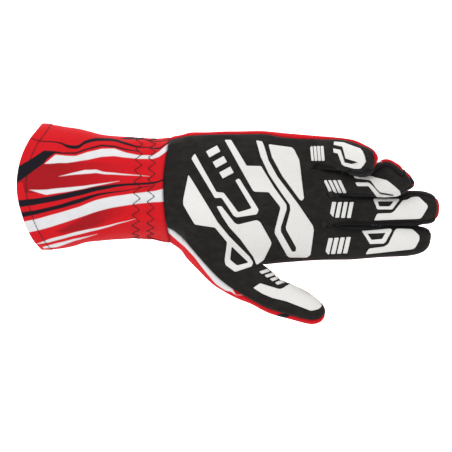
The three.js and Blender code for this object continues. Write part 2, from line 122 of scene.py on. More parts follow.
def makeCamera():
    values = cameraValues
    camera = addToScene(bpy.data.objects.new("camera", bpy.data.cameras.new("camera")))
    camera.location = (*fromSheet(*values["over"]), values["height"])
    camera.data.sensor_width = values["sensor"]
    reach = values["height"] - values["focusHeight"]
    camera.data.lens = values["sensor"] * reach / (values["picture"] * sheet["unit"])
    bpy.context.scene.camera = camera


makeCamera()

# Skin: the outside of the cloth panels, welded into one surface and made finer

panels = [
    "cuff_palm_side",
    "cuff_back_side",
    "palm_panel",
    "back_panel",
    "fourchette_index_middle",
    "fourchette_middle_ring",
    "fourchette_ring_little",
]

skinValues = {
    "weld": 0.01 * mm,  # loose triangles of one panel
    "seamWeld": 0.7 * mm,  # across the gap between two panels
    "thickest": 3.6 * mm,  # a panel's wall is thinner than this everywhere
    "rayLift": 0.02 * mm,
    "layerTurn": math.radians(25),  # a layer's own faces meet more flatly than this
    "squareTurn": math.radians(50),
    "hemX": -100 * mm,  # open edges behind this are the mouth of the cuff
    "mostHits": 40,
    "mostSides": 24,
    "looks": [(0, 0), (0.3, 0.1), (-0.2, 0.25), (0.1, -0.35), (-0.3, -0.15)],  # beside the normal
    "mendings": 3,
    "levels": 3,
}


def wallCrossings(tree, start, direction):
    hits = 0
    point = start.copy()
    while hits < skinValues["mostHits"]:
        place = tree.ray_cast(point, direction)[0]
        if place is None:
            break
        hits += 1
        point = place + direction * skinValues["rayLift"]
    return hits // 2


def outsideVote(tree, face):
    # an even number of walls lies between the outside of the glove and the open air
    start = face.calc_center_median() + face.normal * skinValues["rayLift"]
    side = face.normal.orthogonal().normalized()
    other = face.normal.cross(side)
    votes = 0
    for first, second in skinValues["looks"]:
        direction = (face.normal + side * first + other * second).normalized()
        votes += 1 if wallCrossings(tree, start, direction) % 2 == 0 else -1
    return votes * face.calc_area()


def isLayer(tree, face):
    # the faces of a wall's rim see no opposite side close behind them
    start = face.calc_center_median() - face.normal * skinValues["rayLift"]
    place, normal, index, distance = tree.ray_cast(start, -face.normal)
    return place is not None and distance < skinValues["thickest"]


def outerFaces(tree, part):
    # each face of a layer is judged together with the faces that it runs on into
    votes = {face: outsideVote(tree, face) for face in part.faces if isLayer(tree, face)}
    outer = set()
    for face, own in votes.items():
        beside = [
            other
            for edge in face.edges
            for other in edge.link_faces
            if other in votes and face.normal.angle(other.normal) < skinValues["layerTurn"]
        ]
        if own + sum(votes[other] for other in beside) > 0:
            outer.add(face)
    return outer


def isHem(edge):
    return all(v.co.x < skinValues["hemX"] for v in edge.verts)


def openEdges(skin):
    return [e for e in skin.edges if e.is_boundary and not isHem(e)]


def weldRims(skin):
    rims = [v for v in skin.verts if v.is_boundary]
    bmesh.ops.remove_doubles(skin, verts=rims, dist=skinValues["seamWeld"])


def splitAtNeighbours(skin):
    # where one panel's edge has a corner that its neighbour lacks, the neighbour gets one too
    for corner in [v for v in skin.verts if v.is_boundary and v.co.x > skinValues["hemX"]]:
        for edge in openEdges(skin):
            if corner in edge.verts:
                continue
            first, last = edge.verts
            place, share = intersect_point_line(corner.co, first.co, last.co)
            room = min(share, 1 - share) * edge.calc_length()
            if room > skinValues["seamWeld"] and (place - corner.co).length < skinValues["seamWeld"]:
                bmesh.utils.edge_split(edge, first, share)


def dropExtraFaces(skin):
    # a third face at an edge, or one that hangs on by a single edge, isn't part of the skin
    while True:
        crowded = [e for e in skin.edges if len(e.link_faces) > 2]
        extra = {min(e.link_faces, key=lambda f: f.calc_area()) for e in crowded}
        extra.update(
            f for f in skin.faces if sum(e.is_boundary and not isHem(e) for e in f.edges) >= 2
        )
        if not extra:
            break
        drop(skin, extra)


def closeGaps(skin):
    sides = skinValues["mostSides"]
    for face in bmesh.ops.holes_fill(skin, edges=openEdges(skin), sides=sides)["faces"]:
        beside = [f for e in face.edges for f in e.link_faces if f is not face]
        face.material_index = beside[0].material_index
    bmesh.ops.triangulate(skin, faces=[f for f in skin.faces if len(f.verts) > 4])


def gatherSkin():
    everything = bmesh.new()
    for name in panels:
        everything.from_mesh(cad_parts[name].data)
    tree = BVHTree.FromBMesh(everything)
    everything.free()

    skin = bmesh.new()
    for number, name in enumerate(panels):
        part = bmesh.new()
        part.from_mesh(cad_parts[name].data)
        bmesh.ops.remove_doubles(part, verts=part.verts, dist=skinValues["weld"])
        outer = outerFaces(tree, part)
        drop(part, [f for f in part.faces if f not in outer])
        for face in part.faces:
            face.material_index = number
        carrier = bpy.data.meshes.new("carrier")
        part.to_mesh(carrier)
        part.free()
        skin.from_mesh(carrier)
        bpy.data.meshes.remove(carrier)
    weldRims(skin)
    splitAtNeighbours(skin)
    weldRims(skin)
    for attempt in range(skinValues["mendings"]):
        dropExtraFaces(skin)
        closeGaps(skin)
    bmesh.ops.join_triangles(
        skin,
        faces=skin.faces,
        angle_face_threshold=skinValues["squareTurn"],
        angle_shape_threshold=skinValues["squareTurn"],
        cmp_materials=True,
    )
    bmesh.ops.recalc_face_normals(skin, faces=skin.faces)
    return skin


def refine(coarse, levels):
    mesh = bpy.data.meshes.new("skin")
    coarse.to_mesh(mesh)
    coarse.free()
    holder = addToScene(bpy.data.objects.new("skin", mesh))
    subsurf = holder.modifiers.new("finer", "SUBSURF")
    subsurf.levels = levels
    subsurf.render_levels = levels
    bpy.context.view_layer.update()
    fine = bmesh.new()
    fine.from_object(holder, bpy.context.evaluated_depsgraph_get())
    bpy.data.objects.remove(holder)
    bpy.data.meshes.remove(mesh)
    return fine


coarseSkin = gatherSkin()
print("skin gathered:", len(coarseSkin.faces), "faces")
skin = refine(coarseSkin, skinValues["levels"])
print("skin refined:", len(skin.faces), "faces")


def toSheet(co):
    return (
        co.x / sheet["unit"] + sheet["centre"][0],
        sheet["centre"][1] - co.y / sheet["unit"],
    )


# Outline: small sideways moves that bring the glove's edge onto the pattern sheet

outlineValues = {
    "reach": 8,
    "farthest": 19.2,  # a mark further off has no say
    "spacing": 7,
    "rubbings": 12,
    "slitReach": 2.6 * mm,
    "slitHalf": 0.005 * mm,
    "slitEnd": 3 * mm,
    "slitLowest": 2.6 * mm,  # the cloth stays off the table there
}

# Pulls along the glove's edge on the pattern sheet, a closed ring from the cuff's upper corner over
# the fingertips and the thumb back to the mouth, rounded from offsets measured on earlier renders:
# the place, then how far the edge goes there
outlineMoves = [  # u, v, du, dv
    (44, 122, 0, 0.5), (66, 126, 0, 1.5), (77, 128, 0, 0.5), (89, 132, 0, -0.5), (102, 135, 0, 0),
    (124, 137, 0, -0.5), (141, 140, 0, -2), (151, 140, 0, 0), (160, 139, 0, -0.5),
    (170, 140, -0.5, -2.5), (183, 138, -0.5, -3.5), (206, 133, 0, -0.5), (229, 132.5, 0, -1),
    (286, 134, 0, -0.5), (328, 137, 0, -0.5), (344, 138, 0, 0),
    (351, 139, 0, 0.5), (359, 140, -1, 2.5), (369, 142, -2.5, 5.5), (373, 144, -3, 4),
    (378, 150.5, -4, 2), (379, 155, -2, 3),
    (382.5, 163, 0.5, -8), (394, 163, 0, -0.5), (401.5, 164, -1.5, 1.5), (408, 168, -5, 5.5),
    (412, 171.5, -2.5, 2), (415, 179, -3.5, 1.5), (412, 186.5, 3.5, 0), (411.5, 194, 3, -5),
    (420, 195, 0, -3.5), (427, 196, 1, -3.5), (431.5, 198, 2.5, -3), (435.5, 202, 2.5, -1),
    (438, 208, 0.5, 0), (437, 215, 1.5, 0.5), (433, 218.5, 1.5, 2), (425, 222.5, 4, 2),
    (422.5, 230, 10, -2), (427, 234.5, 2, 0), (429, 244, 0.5, 0), (419, 253, 0, 0),
    (383, 257, 0, 0), (352, 256, 0, 3.5), (321, 259, 0, 0.5), (282, 263, 0, -0.5),
    (265, 265, 0, 0), (272, 271, 0, 0), (282, 280, -2, 3), (290, 284, 1, -2), (300, 289, 0, 0),
    (306.5, 293, 0.5, -1), (320, 302.5, 0.5, -0.5), (324, 312, 1.5, 0), (320, 319.5, 1, 1),
    (316.5, 321, 1, 2.5), (312, 322, 0, 1.5), (300, 321.5, 0, 0), (288, 317, 0, 0.5),
    (280, 314, -0.5, 2.5), (270.5, 310, -1.5, 3), (262.5, 307, -1.5, 2.5), (251, 302, -0.5, 1.5),
    (242, 297.5, -1, 3), (227, 293, -1.5, 2.5), (216, 287, -2, 2), (210, 280, -1, 1),
    (201.5, 273, 0, 0), (194, 263.5, -0.5, 0.5), (187.5, 253, -3, 2.5), (182, 245.5, -3, 3.5),
    (176.5, 243, -2.5, 2.5),
    (171, 241, 0, 0.5), (163, 242, 0, 2), (157.5, 240, 0, 0), (125, 239, 0, 0),
    (110.5, 239, 0, 0.5), (98.5, 240, 0, 1.5), (88.5, 242, 0, -0.5), (83.5, 243, 0, -0.5),
    (72, 244.5, 0.5, 2), (63.5, 246, 0, 1.5), (50.5, 247, -0.5, 2.5), (44.5, 246, 0, 0),
    (40, 245, 0, 2.5), (37, 244.5, -2, 2),
    (31, 232.5, -1.5, 1), (27.5, 225, -1, 0.5), (22.5, 215, 0, 0), (17, 190, 0, 0),
    (18, 169, 0, 0), (23, 154, -0.5, 0), (31, 138.5, -0.5, -0.5), (39.5, 126, 1, 1),
]

innerMoves = [  # the same at single marks between the fingers
    (325, 167, 0, 1.5), (341, 169.5, 0, 2), (355, 171.5, -0.5, 4.5), (365, 171.5, -1, 6),
    (373, 168, -2, 5),
]

roughSpots = [(331.5, 194.5, 5), (327, 224.5, 4), (378.5, 161.5, 3), (364, 152, 6.5)]  # u, v, reach

# slits between two fingers that lie side by side, and how far each side leans in
slits = [
    {"along": [(313, 169), (326, 169.6), (345, 171.5)], "lean": 2.4 * mm},
    {"along": [(329, 225.4), (355, 225.4), (382, 225.6), (418, 225.8)], "lean": 2.6 * mm},
]


def nearestOnLine(flat, line):
    best = None
    for first, last in zip(line, line[1:]):
        share = intersect_point_line(flat, first, last)[1]
        place = first.lerp(last, min(1, max(0, share)))
        if best is None or (flat - place).length < (flat - best).length:
            best = place
    return best


def fitOutline(shape):
    values = outlineValues
    moves = list(innerMoves)
    for first, last in zip(outlineMoves, outlineMoves[1:] + outlineMoves[:1]):
        length = math.dist(first[:2], last[:2])
        steps = max(1, math.ceil(length / values["spacing"]))
        for step in range(steps):
            moves.append([a + (b - a) * step / steps for a, b in zip(first, last)])
    marks = treeOf([(*move[:2], 0) for move in moves])
    for vert in shape.verts:
        whole = 0
        shift = Vector((0, 0, 0))
        near = marks.find_range((*toSheet(vert.co), 0), values["farthest"])
        for place, index, distance in near:
            weight = falloff(distance, values["reach"])
            whole += weight
            shift += weight * Vector((moves[index][2], -moves[index][3], 0))
        vert.co += shift * sheet["unit"] / max(1, whole)
    closeSlits(shape)


def closeSlits(shape):
    values = outlineValues
    lines = [[flatPoint(*point) for point in slit["along"]] for slit in slits]
    for vert in shape.verts:
        flat = Vector((vert.co.x, vert.co.y, 0))
        for slit, line in zip(slits, lines):
            if not line[0].x - values["slitEnd"] < flat.x < line[-1].x + values["slitEnd"]:
                continue
            away = flat - nearestOnLine(flat, line)
            distance = away.length
            if distance < 3 * values["slitReach"] and distance > 1e-9:
                share = falloff(distance, values["slitReach"])
                kept = max(min(distance, values["slitHalf"]), distance - slit["lean"] * share)
                vert.co += away * (kept / distance - 1)
                vert.co.z = max(vert.co.z, values["slitLowest"] * share)
    shape.normal_update()


def calmSpots(shape):
    # small bumps where several panels meet are rubbed flat
    for u, v, reach in roughSpots:
        near = [vert for vert in shape.verts if math.dist(toSheet(vert.co), (u, v)) < reach]
        for count in range(outlineValues["rubbings"]):
            bmesh.ops.smooth_vert(
                shape, verts=near, factor=0.5, use_axis_x=True, use_axis_y=True, use_axis_z=True
            )
    shape.normal_update()


# Black part of the glove's upper side on the pattern sheet
palmOutline = [
    (160, 146), (169.5, 140.7), (173, 138.4), (179.8, 136.1), (187.9, 135.2), (201.6, 134.3),
    (218.9, 134), (236.1, 133.5), (253.3, 133.2), (270.5, 134), (276.3, 135.8), (285.4, 137),
    (300, 137.9), (320, 138.8), (335, 139.2), (342, 139.5), (350, 141.8), (357, 144.6),
    (362, 147), (367, 148.3), (371, 151), (372.6, 157), (373.3, 163), (372.8, 172.5), (374, 174),
    (376, 172), (376.3, 161), (383, 161), (394.3, 164), (399.5, 167.3), (404, 172.5),
    (407, 175.5), (409.8, 180), (411.2, 186), (411.6, 190), (413, 188.5), (420, 188), (430, 190),
    (435.6, 198), (437, 203), (437.3, 208), (436.9, 214), (434.6, 219), (435, 225), (431, 228),
    (433, 234), (433, 246), (429, 253), (421, 257), (404, 260), (383, 262), (352, 263),
    (321, 263), (300, 264.5), (282, 265), (274, 265), (268, 267), (272, 269), (283, 277),
    (291, 279), (302, 284), (309, 287), (316, 291.5), (324, 298), (328, 305), (329, 311.5),
    (328, 313), (324.6, 314.5), (319, 319), (312, 320.4), (298, 318), (284, 314),
    (272.8, 310.6), (263, 307), (253, 301.5), (242, 294.8), (239.2, 293.1), (228, 286.2),
    (218.2, 278.6), (209, 269.2), (200.3, 258.5), (190.2, 246.7), (181.8, 238), (171.5, 229.7),
    (160, 222),
]

# The ring finger's side wall ends at this line, and the back's red cloth shows above it
ringRim = [(378, 163.6), (383, 161.2), (387, 160.8), (392, 163), (397, 166.8), (402, 171)]

panelValues = {
    "upward": -0.05,  # a face that looks down more than this belongs to the back
    "tidyings": 3,
    "relaxings": 14,
}


def isInside(u, v, outline):
    inside = False
    for (u1, v1), (u2, v2) in zip(outline, outline[1:] + outline[:1]):
        if (v1 > v) != (v2 > v) and u < u1 + (v - v1) / (v2 - v1) * (u2 - u1):
            inside = not inside
    return inside


def partPanels(shape):
    # the seam between the palm and the back goes where the pattern sheet has it
    palm, back = panels.index("palm_panel"), panels.index("back_panel")
    wall = panels.index("fourchette_ring_little")
    hand = [f for f in shape.faces if f.material_index in (palm, back)]
    for face in hand:
        u, v = toSheet(face.calc_center_median())
        upward = face.normal.z > panelValues["upward"]
        face.material_index = palm if upward and isInside(u, v, palmOutline) else back
    for face in shape.faces:
        u, v = toSheet(face.calc_center_median())
        if face.material_index == wall and ringRim[0][0] < u < ringRim[-1][0]:
            if v < interpolate(ringRim, u):
                face.material_index = back
    for count in range(panelValues["tidyings"]):
        strays = []
        for face in hand:
            beside = [g.material_index for e in face.edges for g in e.link_faces if g is not face]
            if sum(other == face.material_index for other in beside) <= 1:
                strays.append(face)
        for face in strays:
            face.material_index = palm if face.material_index == back else back

    surface = BVHTree.FromBMesh(shape)
    seam = {}
    for edge in shape.edges:
        kinds = {f.material_index for f in edge.link_faces}
        if kinds in ({palm, back}, {wall, back}):
            for vert in edge.verts:
                seam.setdefault(vert, []).append(edge.other_vert(vert))
    for count in range(panelValues["relaxings"]):
        places = {
            vert: vert.co.lerp((near[0].co + near[1].co) / 2, 0.5)
            for vert, near in seam.items() if len(near) == 2
        }
        for vert, place in places.items():
            vert.co = surface.find_nearest(place)[0]
    shape.normal_update()


fitOutline(skin)
calmSpots(skin)
print("outline fitted")
partPanels(skin)
print("panels parted")

# Wrist rows: two zigzags of elastic stitching round the wrist

zigzagValues = {
    "rows": [
        [(148, 139.5), (224, 135.8)],  # v, u of the row's middle
        [(148, 152.5), (224, 150.5)],
    ],
    "phases": [187.3, 185.3],  # v of a peak towards the fingers
    "period": 11.4,
    "reach": 3.7,
    "stitchesPerLeg": 3,
    "threadRadius": 0.3 * mm,
    "lift": 0.12 * mm,
    "samples": 360,
    "attempts": 3,
    "firstV": 186,
    "axisV": 188,  # the rows are traced from a line inside the cuff, at this v and the next height
    "axisHeight": 16 * mm,
    "palmHeight": 15 * mm,
    "lowest": 0.15 * mm,
}

# Folds: the fine skin is pressed into its seams, creases and gathers

foldValues = {
    "seamDepth": 0.6 * mm,
    "seamReach": 1.1 * mm,
    "hemWidth": 7 * mm,
    "hemRise": 0.45 * mm,
    "stitchDip": 0.35 * mm,
    "gatherHeight": 0.42 * mm,
    "gatherReach": 7 * mm,
    "rowDip": 0.45 * mm,
    "rowReach": 3.2 * mm,
    "waveSize": 17 * mm,
    "waveHeight": 0.3 * mm,
    "cuffWaveHeight": 0.55 * mm,
    "cuffToHand": (160, 172),  # u
    "gathersEnd": 185,
    "hemEnd": 70,
    "hemStep": 1.2 * mm,
    "stitchReach": 0.8 * mm,
    "creaseFacing": 0.1,
    "creaseReach": 60 * mm,
    "lowest": 0.05 * mm,
}

# side (1 is the palm, -1 the back), depth (below nothing is a ridge) and width in mm, and the line
creases = [
    (1, 0.9, 2.4, [(303.7, 169.2), (312, 180), (321.3, 191.3)]),
    (1, -0.5, 2.2, [(308.5, 167), (317, 178.5), (326, 189)]),
    (1, 0.8, 3, [(361, 207), (363, 218)]),
    (1, 0.5, 2.6, [(357, 234), (359, 246)]),
    (1, 0.9, 1.3, [(235.9, 271.9), (249.3, 268), (256, 266.5), (266, 263.5)]),
    (1, 0.6, 1.2, [(253, 260), (256, 267)]),
    (1, 0.7, 1.6, [(150, 143), (158, 147), (167, 148)]),
    (1, 0.6, 1.4, [(156, 139), (163, 141.5), (170, 141)]),
    (1, 0.7, 1.6, [(146, 231), (152, 236)]),
    (1, 0.7, 1.5, [(158, 230), (160.5, 237)]),
    (1, 0.7, 6, [(60, 170), (90, 164), (118, 162)]),
    (1, 0.6, 6, [(52, 226), (88, 221), (122, 216)]),
    (1, 0.45, 4, [(176, 214), (196, 221), (214, 236)]),
    (1, 0.4, 3.5, [(266, 150), (284, 157), (303, 160)]),
    (-1, 0.6, 3, [(176, 160), (205, 158), (240, 164)]),
    (-1, 0.6, 3, [(172, 205), (210, 216), (238, 236)]),
    (-1, 0.7, 2.6, [(300, 150), (306, 168), (303, 186)]),
    (-1, 0.7, 5, [(60, 168), (92, 164), (126, 166)]),
]


def creaseShift(vert):
    shift = 0
    flat = Vector((vert.co.x, vert.co.y, 0))
    for side, depth, width, along in creases:
        if vert.normal.z * side < foldValues["creaseFacing"]:
            continue
        line = [flatPoint(*point) for point in along]
        if (flat - line[len(line) // 2]).length < foldValues["creaseReach"]:
            nearest = (flat - nearestOnLine(flat, line)).length
            shift -= depth * mm * falloff(nearest, width * mm)
    return shift


def gatherShift(u, v):
    values = foldValues
    shift = 0
    for table, phase in zip(zigzagValues["rows"], zigzagValues["phases"]):
        away = (u - interpolate(table, v)) * sheet["unit"]
        turn = 2 * math.pi * (v - phase) / zigzagValues["period"]
        shift += values["gatherHeight"] * math.cos(turn) * falloff(away, values["gatherReach"])
        shift -= values["rowDip"] * falloff(away, values["rowReach"])
    return shift


def mouthTree(shape):
    return treeOf([v.co for v in shape.verts if v.is_boundary])


def foldSkin(shape):
    values = foldValues
    seams = treeOf([v.co for v in shape.verts if len({f.material_index for f in v.link_faces}) > 1])
    hem = mouthTree(shape)
    # the seam layer holds how close a seam is; the finishes paint shade and dust there with it
    seamMask = shape.verts.layers.float.new("seam")
    hemMask = shape.verts.layers.float.new("hem")
    moves = []
    for vert in shape.verts:
        u, v = toSheet(vert.co)
        nearSeam = falloff(seams.find(vert.co)[2], values["seamReach"])
        shift = creaseShift(vert) - values["seamDepth"] * nearSeam
        cuffEnd, handStart = values["cuffToHand"]
        onCuff = smoothStep(handStart, cuffEnd, u) if u > cuffEnd else 1.0
        height = values["waveHeight"] + (values["cuffWaveHeight"] - values["waveHeight"]) * onCuff
        shift += height * noise.noise(vert.co / values["waveSize"])
        if u < values["gathersEnd"]:
            shift += gatherShift(u, v)
        if u < values["hemEnd"]:
            fromHem = hem.find(vert.co)[2]
            folded = values["hemWidth"]
            vert[hemMask] = 1 - smoothStep(folded, folded + values["hemStep"], fromHem)
            shift += values["hemRise"] * vert[hemMask]
            shift -= values["stitchDip"] * falloff(fromHem - folded, values["stitchReach"])
        vert[seamMask] = nearSeam
        moves.append(vert.normal * shift)
    for vert, move in zip(shape.verts, moves):
        vert.co += move
        vert.co.z = max(vert.co.z, values["lowest"])
    closeSlits(shape)


foldSkin(skin)
print("skin folded")

skinTree = BVHTree.FromBMesh(skin)
skin.faces.ensure_lookup_table()


def onSkin(start, direction):
    # the place on the skin and its smooth normal there
    place, normal, index, distance = skinTree.ray_cast(start, direction)
    if place is None:
        return None, None
    verts = skin.faces[index].verts
    weights = poly_3d_calc([v.co for v in verts], place)
    smooth = Vector((0, 0, 0))
    for vert, weight in zip(verts, weights):
        smooth += vert.normal * weight
    return place, smooth.normalized()


# Node helpers and the effects that several finishes share


def paint(red, green, blue):
    # a colour as a screen shows it, from 0 to 255
    def linear(value):
        share = value / 255
        return share / 12.92 if share <= 0.04045 else ((share + 0.055) / 1.055) ** 2.4

    return (linear(red), linear(green), linear(blue), 1)


def addNode(tree, kind, inputs=None, settings=None):
    node = tree.nodes.new(kind)
    for name, value in (settings or {}).items():
        setattr(node, name, value)
    for name, value in (inputs or {}).items():
        if isinstance(value, bpy.types.NodeSocket):
            tree.links.new(value, node.inputs[name])
        else:
            node.inputs[name].default_value = value
    return node


def math2(tree, operation, first, second=0.0, clamp=False):
    settings = {"operation": operation, "use_clamp": clamp}
    return addNode(tree, "ShaderNodeMath", {0: first, 1: second}, settings).outputs[0]


def vectorMath(tree, operation, first, second=None):
    inputs = {0: first}
    if second is not None:
        inputs["Scale" if operation == "SCALE" else 1] = second
    return addNode(tree, "ShaderNodeVectorMath", inputs, {"operation": operation}).outputs


def mapRange(tree, value, low, high, first, last):
    inputs = {0: value, 1: low, 2: high, 3: first, 4: last}
    return addNode(tree, "ShaderNodeMapRange", inputs).outputs[0]


def cloudOver(tree, point, scale, detail, roughness=0.5):
    inputs = {"Vector": point, "Scale": scale, "Detail": detail, "Roughness": roughness}
    return addNode(tree, "ShaderNodeTexNoise", inputs).outputs


def mixColours(tree, factor, under, over, blend="MIX"):
    settings = {"data_type": "RGBA", "blend_type": blend}
    inputs = {0: factor, 6: under, 7: over}
    return addNode(tree, "ShaderNodeMix", inputs, settings).outputs[2]


socketKinds = {"Point": "Vector", "Centre": "Vector", "Reach": "Vector", "Colour": "Color"}


def newGroup(name, inputs, outputs):
    # a socket that socketKinds doesn't list carries a number
    tree = bpy.data.node_groups.new(name, "ShaderNodeTree")
    for way, titles in [("INPUT", inputs), ("OUTPUT", outputs)]:
        for title in titles:
            kind = "NodeSocket" + socketKinds.get(title, "Float")
            tree.interface.new_socket(title, in_out=way, socket_type=kind)
    return tree, tree.nodes.new("NodeGroupInput").outputs, tree.nodes.new("NodeGroupOutput").inputs


# The curves of a printed band hold shares of these spans of the sheet: the start and the length
curveSpans = {"u": (5.0, 300.0), "v": (110.0, 200.0), "half": (-2.0, 24.0)}


def shareOf(value, span):
    start, length = curveSpans[span]
    return (value - start) / length


def spreadShare(tree, share, span):
    start, length = curveSpans[span]
    return math2(tree, "ADD", math2(tree, "MULTIPLY", share, length), start)


def softMask(tree, inside, soft):
    return math2(tree, "ADD", math2(tree, "DIVIDE", inside, soft), 0.5, clamp=True)


def makeBandMask():
    # a printed band, and also a band of painted fold shade: Middle and Half are its curves over the
    # sheet, as shares
    tree, entry, result = newGroup("bandMask", ["Across", "Middle", "Half", "Soft"], ["Mask"])
    across = spreadShare(tree, entry["Middle"], "v")
    half = spreadShare(tree, entry["Half"], "half")
    away = math2(tree, "ABSOLUTE", math2(tree, "SUBTRACT", entry["Across"], across))
    inside = math2(tree, "SUBTRACT", half, away)
    tree.links.new(softMask(tree, inside, entry["Soft"]), result["Mask"])
    return tree


def makePatchMask():
    # a small oval spot of dye
    tree, entry, result = newGroup("patchMask", ["Point", "Centre", "Reach", "Soft"], ["Mask"])
    away = vectorMath(tree, "SUBTRACT", entry["Point"], entry["Centre"])[0]
    away = vectorMath(tree, "DIVIDE", away, entry["Reach"])[0]
    inside = math2(tree, "SUBTRACT", 1.0, vectorMath(tree, "LENGTH", away)["Value"])
    tree.links.new(softMask(tree, inside, entry["Soft"]), result["Mask"])
    return tree


def makeKnit():
    # rows of small slanted loops; Pitch is the loops' spacing in metres
    tree, entry, result = newGroup("knit", ["Point", "Pitch"], ["Height"])
    around = math2(tree, "DIVIDE", 2 * math.pi, entry["Pitch"])
    waves = []
    for direction in [(1, 0.35, 0.6), (0.35, -1, 0.6)]:
        along = vectorMath(tree, "DOT_PRODUCT", entry["Point"], direction)["Value"]
        waves.append(math2(tree, "SINE", math2(tree, "MULTIPLY", along, around)))
    loops = math2(tree, "MULTIPLY", *waves)
    tree.links.new(math2(tree, "MULTIPLY_ADD", loops, 0.5), result["Height"])
    return tree


def makeMottle():
    # soft uneven shade: the colour gets lighter and darker in patches of one size
    tree, entry, result = newGroup(
        "mottle", ["Point", "Colour", "Size", "Strength"], ["Colour", "Height"]
    )
    cloud = cloudOver(tree, entry["Point"], math2(tree, "DIVIDE", 1.0, entry["Size"]), 3.0)[0]
    swing = math2(tree, "MULTIPLY", math2(tree, "SUBTRACT", cloud, 0.5), entry["Strength"])
    inputs = {"Value": math2(tree, "ADD", swing, 1.0), "Color": entry["Colour"]}
    shaded = addNode(tree, "ShaderNodeHueSaturation", inputs).outputs[0]
    tree.links.new(shaded, result["Colour"])
    tree.links.new(cloud, result["Height"])
    return tree


def makePaintedSeamShade():
    # painted shade and dust: the colour is darkened near the seams
    tree, entry, result = newGroup("paintedSeamShade", ["Colour", "Seam", "Strength"], ["Colour"])
    factor = math2(tree, "MULTIPLY", entry["Seam"], entry["Strength"], clamp=True)
    dark = mixColours(tree, 1.0, entry["Colour"], (0.12, 0.11, 0.11, 1), "MULTIPLY")
    tree.links.new(mixColours(tree, factor, entry["Colour"], dark), result["Colour"])
    return tree


groups = {
    "band": makeBandMask(),
    "patch": makePatchMask(),
    "knit": makeKnit(),
    "mottle": makeMottle(),
    "seam": makePaintedSeamShade(),
}


def useGroup(tree, name, inputs):
    return addNode(tree, "ShaderNodeGroup", inputs, {"node_tree": groups[name]}).outputs


def mottle(tree, point, colour, size, strength):
    inputs = {"Point": point, "Colour": colour, "Size": size, "Strength": strength}
    return useGroup(tree, "mottle", inputs)


def paintSeamShade(tree, colour, strength):
    # painted shade and dust near the seams, read from the seam layer
    settings = {"attribute_name": "seam"}
    seam = addNode(tree, "ShaderNodeAttribute", settings=settings).outputs["Fac"]
    return useGroup(tree, "seam", {"Colour": colour, "Seam": seam, "Strength": strength})[0]


def newMaterial(name, roughness, specular, sheen=0.0, sheenRoughness=0.5):
    material = bpy.data.materials.new(name)
    material.use_nodes = True
    tree = material.node_tree
    tree.nodes.clear()
    inputs = {
        "Roughness": roughness,
        "Specular IOR Level": specular,
        "Sheen Weight": sheen,
        "Sheen Roughness": sheenRoughness,
    }
    shader = addNode(tree, "ShaderNodeBsdfPrincipled", inputs)
    addNode(tree, "ShaderNodeOutputMaterial", {"Surface": shader.outputs[0]})
    point = addNode(tree, "ShaderNodeTexCoord").outputs["Object"]
    return material, tree, shader, point


def sheetPoint(tree, point):
    # u and v of the pattern sheet from the place on the glove
    share = 1 / sheet["unit"]
    inputs = {"Vector": point, "Location": (*sheet["centre"], 0), "Scale": (share, -share, share)}
    return addNode(tree, "ShaderNodeMapping", inputs).outputs[0]


def finish(tree, shader, colour, height, strength, distance):
    tree.links.new(colour, shader.inputs["Base Color"])
    inputs = {"Height": height, "Strength": strength, "Distance": distance}
    bump = addNode(tree, "ShaderNodeBump", inputs)
    tree.links.new(bump.outputs[0], shader.inputs["Normal"])


def curveOver(tree, along, rows, handle):
    # a Float Curve through rows of shares
    node = addNode(tree, "ShaderNodeFloatCurve", {"Value": along})
    curve = node.mapping.curves[0]
    while len(curve.points) < len(rows):
        curve.points.new(0.5, 0.5)
    for point, row in zip(curve.points, sorted(rows)):
        point.location = row
        point.handle_type = handle
    node.mapping.extend = "HORIZONTAL"
    node.mapping.update()
    return node.outputs[0]


bandValues = {
    "tip": 2.5,  # a band that ends on the cloth comes to its point over this length
    "tipHalf": -1.5,
    "runsOn": (22, 163),  # a band that starts before the first or ends past the second has no tip
}


def band(tone, *rows, **more):
    # rows of u, v of the middle and half the width; fade is where the band is full and where gone
    return {"tone": tone, "rows": list(rows), **more}


def streak(tone, *rows):
    return band(tone, *rows, sharp=True)


def printAndShadeBands(tree, place, under, bands, soft):
    # each band lies over the ones before it
    parts = addNode(tree, "ShaderNodeSeparateXYZ", {0: place}).outputs
    start, length = curveSpans["u"]
    along = math2(tree, "DIVIDE", math2(tree, "SUBTRACT", parts[0], start), length)
    tip, tipHalf = bandValues["tip"], bandValues["tipHalf"]
    colour = under
    for each in bands:
        rows = each["rows"]
        handle = "VECTOR" if each.get("sharp") else "AUTO_CLAMPED"
        first, last = rows[0], rows[-1]
        if first[0] > bandValues["runsOn"][0]:
            rows = [(first[0] - tip, first[1], tipHalf)] + rows
        if last[0] < bandValues["runsOn"][1]:
            rows = rows + [(last[0] + tip, last[1], tipHalf)]
        middles = [(shareOf(u, "u"), shareOf(v, "v")) for u, v, half in rows]
        halves = [(shareOf(u, "u"), shareOf(half, "half")) for u, v, half in rows]
        mask = useGroup(
            tree, "band",
            {
                "Across": parts[1],
                "Middle": curveOver(tree, along, middles, handle),
                "Half": curveOver(tree, along, halves, handle),
                "Soft": each.get("soft", soft),
            },
        )[0]
        if "fade" in each:
            fade = mapRange(tree, parts[0], *each["fade"], 1.0, 0.0)
            mask = math2(tree, "MULTIPLY", mask, fade)
        colour = mixColours(tree, mask, colour, each["tone"])
    return colour


# Printed cuff cloth, with painted fold shade in its dark red bands

printAndShadeValues = {
    "red": paint(212, 24, 34),
    # dark red, also used for the painted fold shade on the cuff
    "darkRed": paint(168, 22, 30),
    "white": paint(230, 230, 232),
    "black": paint(26, 24, 32),
    "soft": 0.9,  # how blurred a band's edge is, in sheet units
    "warp": 1.6,
    "warpScale": 55.0,
    "pitch": 0.9 * mm,
}

darkRed, white, black = (printAndShadeValues[name] for name in ["darkRed", "white", "black"])

